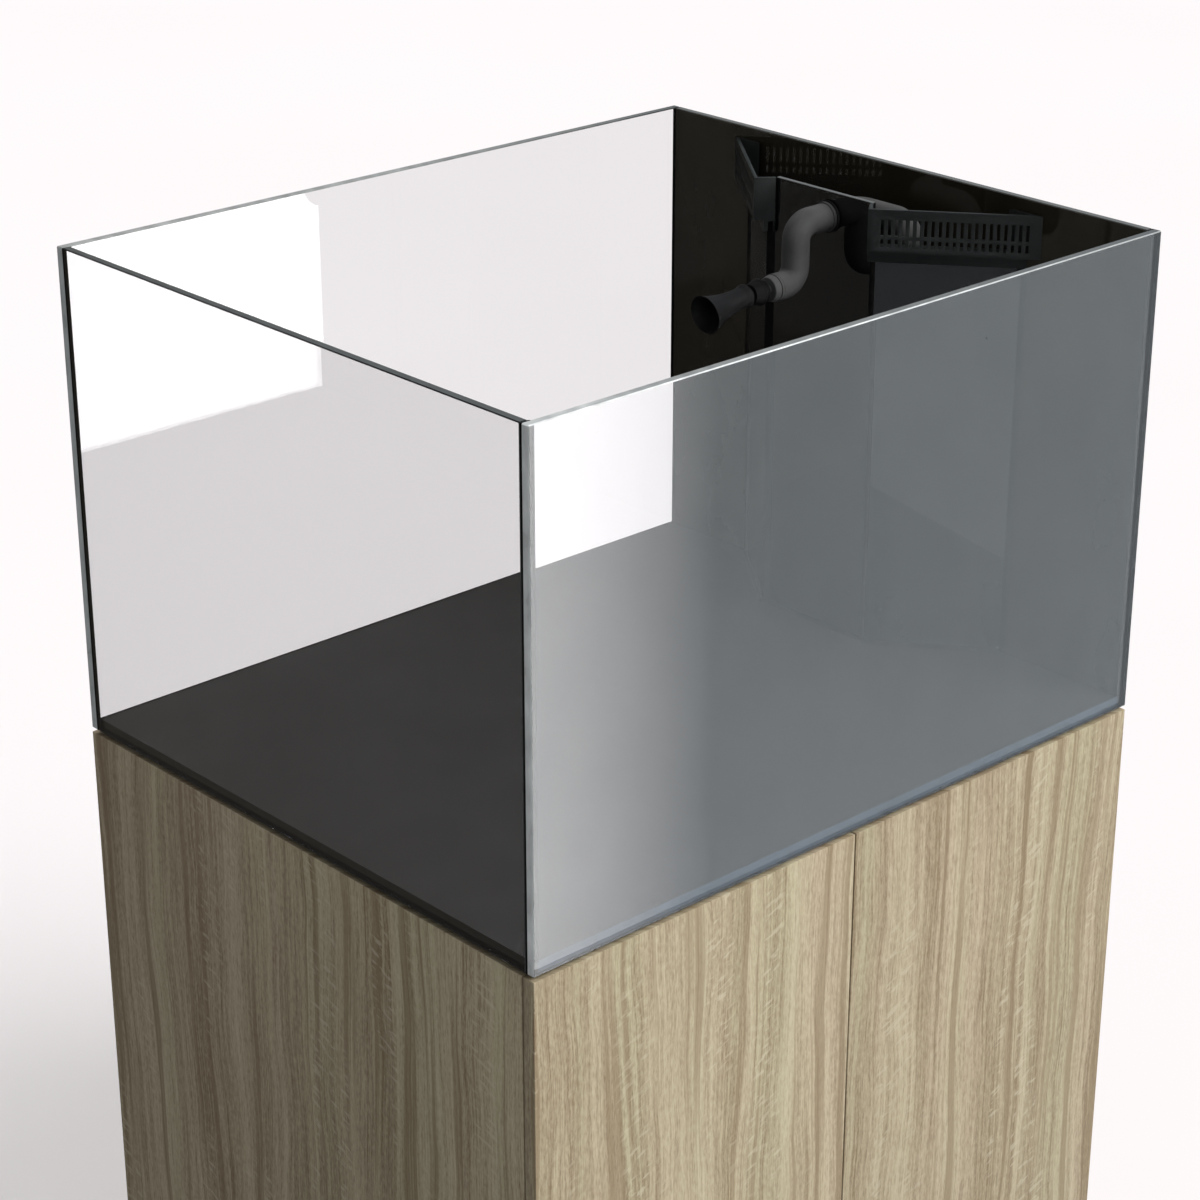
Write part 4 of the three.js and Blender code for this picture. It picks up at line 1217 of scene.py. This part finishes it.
def add_foot(node):
    """A swivelling pad with grip flutes, and its screw with a driver slot in the top."""
    x, y = middle(node).xy
    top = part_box(node)[1].z
    last = top / MM
    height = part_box("cabinet_floor")[0].z / MM - 0.3
    profile = [(0, 0), (23, 0), (24, 1.5), (24, 6), (11, 13), (11, height), (5.0, height)]
    pitch = 1.25
    while height + pitch < last - 1:
        profile += [(4.9, height + pitch * 0.15), (4.2, height + pitch / 2), (4.9, height + pitch * 0.85)]
        height += pitch
    profile += [(4.7, last - 0.4), (4.2, last), (0, last)]
    bm = turned(bmesh.new(), in_mm(profile), (x, y, 0), AIM_Z, MEDIUM, 0.05 * MM)
    slot = box_into(bmesh.new(), (x - 6 * MM, y - 0.8 * MM, top - 3 * MM),
                    (x + 6 * MM, y + 0.8 * MM, top + 1 * MM))
    bm = cut_by(bm, slot)
    flute_low, flute_high = Vector((10.6, -0.7, 14)) * MM, Vector((11.5, 0.7, 23)) * MM
    ribs_round(bm, (x, y, 0), 24, flute_low, flute_high, 0.3 * MM)
    stand_for(node, bm, [SATIN_BLACK])


def add_feet():
    for end in ("front", "rear"):
        for side in ("left", "right"):
            add_foot(f"levelling_foot_{end}_{side}")


# ---------------------------------------------------------------- sump and pump


def add_sump():
    """The glass sump and its baffles. Its arrises and its top rim take the edge finish."""
    bm = round_edges(solid_of("sump_tank"), 0.9 * MM, 1)
    widest = max(f.calc_area() for f in bm.faces)
    half_way = middle("sump_tank").z
    for f in bm.faces:
        on_rim = abs(f.normal.z) > STEEP and f.calc_center_median().z > half_way
        f.material_index = int(on_rim or f.calc_area() < 0.02 * widest)
    sump = stand_for("sump_tank", bm, [SUMP_PANE, SUMP_EDGE])
    sump.data.shade_flat()  # smoothed corners would bend what is seen through the glass
    for node in ("sump_inlet_baffle", "sump_return_baffle"):
        pane(node, [SUMP_PANE, SUMP_EDGE], lambda f: 1, 0.7 * MM)


def add_pump():
    """The return pump: ribbed motor, screwed volute with a grilled intake, and rubber feet."""
    node = "return_pump"
    low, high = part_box(node)
    centre = Vector((high.x - 1 * MM, RETURN_Y, middle("pump_impeller").z))  # on the volute's front face

    def spot(x, y, z=0.0):
        return centre + Vector((x, y, z)) * MM

    motor = [(0, -104), (33, -104)]
    for x in range(-98, -34, 8):
        motor += [(34.6, x), (38, x + 1.5), (38, x + 4), (34.6, x + 5.5)]
    motor += [(36, -32), (0, -32)]
    bm = turned(bmesh.new(), in_mm(motor), centre, AIM_X, edge=0.5 * MM)
    volute = [(4.3, -32), (42, -32), (42, -4), (38, 0), (15, 0), (15, -8), (31, -8), (31, -24),
              (4.3, -24), (4.3, -32)]
    turned(bm, in_mm(volute), centre, AIM_X, edge=0.9 * MM)
    turned(bm, in_mm(tube(10, 12.2, 28, 64)), spot(-14, 0), AIM_Z, MEDIUM, 0.4 * MM)
    gland = [(0, -114), (4.5, -114), (6, -110), (6, -103), (0, -103)]
    turned(bm, in_mm(gland), spot(0, 0, 14), AIM_X, MEDIUM)
    base_low, base_high = spot(-96, -26), spot(-4, 26, -30)
    base_low.z = low.z + 1.5 * MM
    box_into(bm, base_low, base_high, 3 * MM, 3)
    cup = wide_mm([(0, low.z), (6.5, low.z), (5, base_low.z + 1 * MM), (0, base_low.z + 1 * MM)])
    for x in (-88, -12):
        for y in (-18, 18):
            turned(bm, cup, (*spot(x, y).xy, 0), AIM_Z, 24, 0.4 * MM)
    screws = 6
    screw_circle = 35
    for k in range(screws):
        angle = FULL_TURN * (k + 0.5) / screws
        y, z = screw_circle * math.cos(angle), screw_circle * math.sin(angle)
        cross_screw(bm, spot(-0.4, y, z), AIM_X, 2.8 * MM, 1.2 * MM)
    spokes = 8
    bar_low, bar_high = Vector((-2.2, -15.4, -0.9)) * MM, Vector((-0.2, 15.4, 0.9)) * MM
    for k in range(spokes // 2):
        box_into(bm, bar_low, bar_high, 0.3 * MM, 1, spun(centre, k / spokes, "X"))
    stand_for(node, bm, [SATIN_BLACK])


def blade_outline(share, steps=8):
    """A curved blade as (radius, angle) points, up one side and back down the other."""
    side_a, side_b = [], []
    for k in range(steps + 1):
        t = k / steps
        radius = (5 + 21.5 * t) * MM
        angle = FULL_TURN * share + 0.75 * t * t
        half = 0.8 * MM / radius
        side_a.append((radius, angle - half))
        side_b.append((radius, angle + half))
    return side_a + side_b[::-1]


def add_impeller():
    """The shaft, its disc and six curved blades."""
    node = "pump_impeller"
    centre = middle(node)
    centre.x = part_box("return_pump")[1].x - 1 * MM
    disc = [(0, -56), (4, -56), (4, -23.5), (28, -23), (28, -20.5), (6, -20), (4, -12), (3.5, -8),
            (0, -8)]
    bm = turned(bmesh.new(), in_mm(disc), centre, AIM_X, edge=0.4 * MM)
    blades = 6
    for i in range(blades):
        outline = blade_outline(i / blades)
        rings = []
        for x in (-21 * MM, -9 * MM):
            rings.append([centre + Vector((x, radius * math.cos(angle), radius * math.sin(angle)))
                          for radius, angle in outline])
        solid_between(bm, *rings)
    stand_for(node, bm, [GREY_PVC])


# ---------------------------------------------------------------- stage, light and camera

BACKDROP_WHITE = 0.955  # how bright the surroundings look to the camera
AMBIENT = 0.34  # soft light from all round
FLOOR_GLOW = 0.167  # keeps the shadow on the floor light


def add_floor():
    """A wide pale floor. Only direct sight meets it: what the glass mirrors comes from the studio."""
    n = Nodes("studio_floor")
    mottle = n.even_noise(0.8, detail=2.0)
    tone = n.mix(n.span(mottle, 0.3, 0.7), (0.607, 0.582, 0.584), (0.617, 0.591, 0.594))
    material = n.set(colour=tone, roughness=0.9, specular=0.0)
    n.shader.inputs["Emission Color"].default_value = (1.0, 0.965, 0.975, 1)
    n.shader.inputs["Emission Strength"].default_value = FLOOR_GLOW
    mirrored, scattered = n.depths()
    indirect = n.math("ADD", mirrored, scattered, clamp=True)
    nothing = n.add("ShaderNodeBsdfTransparent").outputs[0]
    surface = n.either(indirect, n.shader.outputs[0], nothing)
    n.tree.links.new(surface, n.output.inputs["Surface"])
    material.cycles.emission_sampling = "NONE"
    mesh = bpy.data.meshes.new("studio_floor")
    reach = 80
    corners = [(x * reach, y * reach, 0) for x, y in ((-1, -1), (1, -1), (1, 1), (-1, 1))]
    mesh.from_pydata(corners, [], [(0, 1, 2, 3)])
    mesh.materials.append(material)
    floor = placed("studio_floor", mesh)
    floor.visible_glossy = False
    floor.visible_diffuse = False


def add_sun(name, round_from_front, elevation, strength, softness):
    """A soft distant light, in degrees: round from the door side towards the weir end, and up."""
    light = bpy.data.lights.new(name, "SUN")
    light.energy = strength
    light.angle = math.radians(softness)
    obj = placed(name, light)
    obj.rotation_euler = (math.radians(90 - elevation), 0, math.radians(round_from_front))
    obj.visible_glossy = False


# What gloss mirrors, by degrees from the door side (0) round to the weir end (90).
STUDIO = [
    (-180, (0.12, 0.11, 0.09)),
    (-90, (0.12, 0.11, 0.10)),
    (-62, (0.36, 0.38, 0.42)),
    (-50, (0.5, 0.5, 0.5)),
    (-30, (1.4, 1.4, 1.4)),
    (22, (1.6, 1.6, 1.6)),
    (30, (6.9, 6.9, 6.9)),
    (36, (7.1, 7.1, 7.1)),
    (41.4, (4.1, 4.1, 4.1)),
    (43.4, (2.5, 2.55, 2.6)),
    (44.6, (1.22, 1.32, 1.37)),
    (60, (0.96, 1.06, 1.12)),
    (110, (0.80, 0.88, 0.93)),
    (160, (0.12, 0.11, 0.09)),
]
BRIGHTEST = 8.0  # the ramp's colours are parts of this
STEEP_STARTS, STEEP_ENDS = 0.48, 0.72  # the studio dims between these sines of the height angle
STEEP_DIMS = 7


def add_world():
    """White to the camera, and even and dim to matt surfaces.

    To gloss it is a studio: a narrow bright panel at the door side, grey towards the weir end, and dark
    at the other end. Overhead and below it is dimmer.
    """
    world = bpy.data.worlds.new("studio")
    bpy.context.scene.world = world
    world.use_nodes = True
    world.cycles.sampling_method = "NONE"
    world.node_tree.nodes.clear()
    n = Tree(world.node_tree)

    def background(colour, strength):
        return n.add("ShaderNodeBackground", {"Color": colour, "Strength": strength}).outputs[0]

    direction = n.add("ShaderNodeTexCoord").outputs["Generated"]
    axes = n.add("ShaderNodeSeparateXYZ", {0: direction}).outputs
    azimuth = n.math("ARCTAN2", axes["X"], n.math("MULTIPLY", axes["Y"], -1))
    stops = [((degrees + 180) / 360, shade(colour, 1 / BRIGHTEST)) for degrees, colour in STUDIO]
    tone = n.ramp(n.span(azimuth, -math.pi, math.pi), stops)
    steepness = n.math("ABSOLUTE", axes["Z"])
    strength = n.span(steepness, STEEP_STARTS, STEEP_ENDS, BRIGHTEST, BRIGHTEST / STEEP_DIMS)
    white = background((1.0, 0.985, 0.99, 1), BACKDROP_WHITE)
    even = background((0.97, 0.985, 1.0, 1), AMBIENT)
    mirrored, scattered = n.depths()
    seen = n.either(mirrored, white, background(tone, strength))
    n.add("ShaderNodeOutputWorld", {"Surface": n.either(scattered, seen, even)})


# The photo's own camera, fitted to the tank's corners.
CAMERA_PLACE = (-2.0730, -2.2336, 2.3499)
CAMERA_TILT = math.radians(66.711)  # from looking straight down
CAMERA_HEADING = math.radians(-42.593)
FOCAL_LENGTH = 89.39  # millimetres, as is the sensor's width
SENSOR_WIDTH = 36


def add_camera():
    camera = bpy.data.cameras.new("camera")
    camera.lens = FOCAL_LENGTH
    camera.sensor_width = SENSOR_WIDTH
    camera.clip_end = 200
    obj = placed("camera", camera)
    obj.location = CAMERA_PLACE
    obj.rotation_euler = (CAMERA_TILT, 0, CAMERA_HEADING)
    bpy.context.scene.camera = obj


def add_lamps():
    add_sun("key", round_from_front=18, elevation=38, strength=3.39, softness=40)
    add_sun("back_fill", round_from_front=150, elevation=38, strength=1.9, softness=30)


def build():
    bpy.context.scene.view_settings.view_transform = "Standard"
    add_camera()
    add_world()
    add_floor()
    add_lamps()
    add_tank()
    add_corner_seals()
    add_floor_seal()
    add_weir()
    add_weir_seals()
    add_weir_floor_bead()
    add_outlet()
    add_floor_fittings()
    add_pipe_runs()
    add_drain()
    add_valve()
    add_cabinet()
    add_hinges()
    add_latches()
    add_feet()
    add_sump()
    add_pump()
    add_impeller()


build()
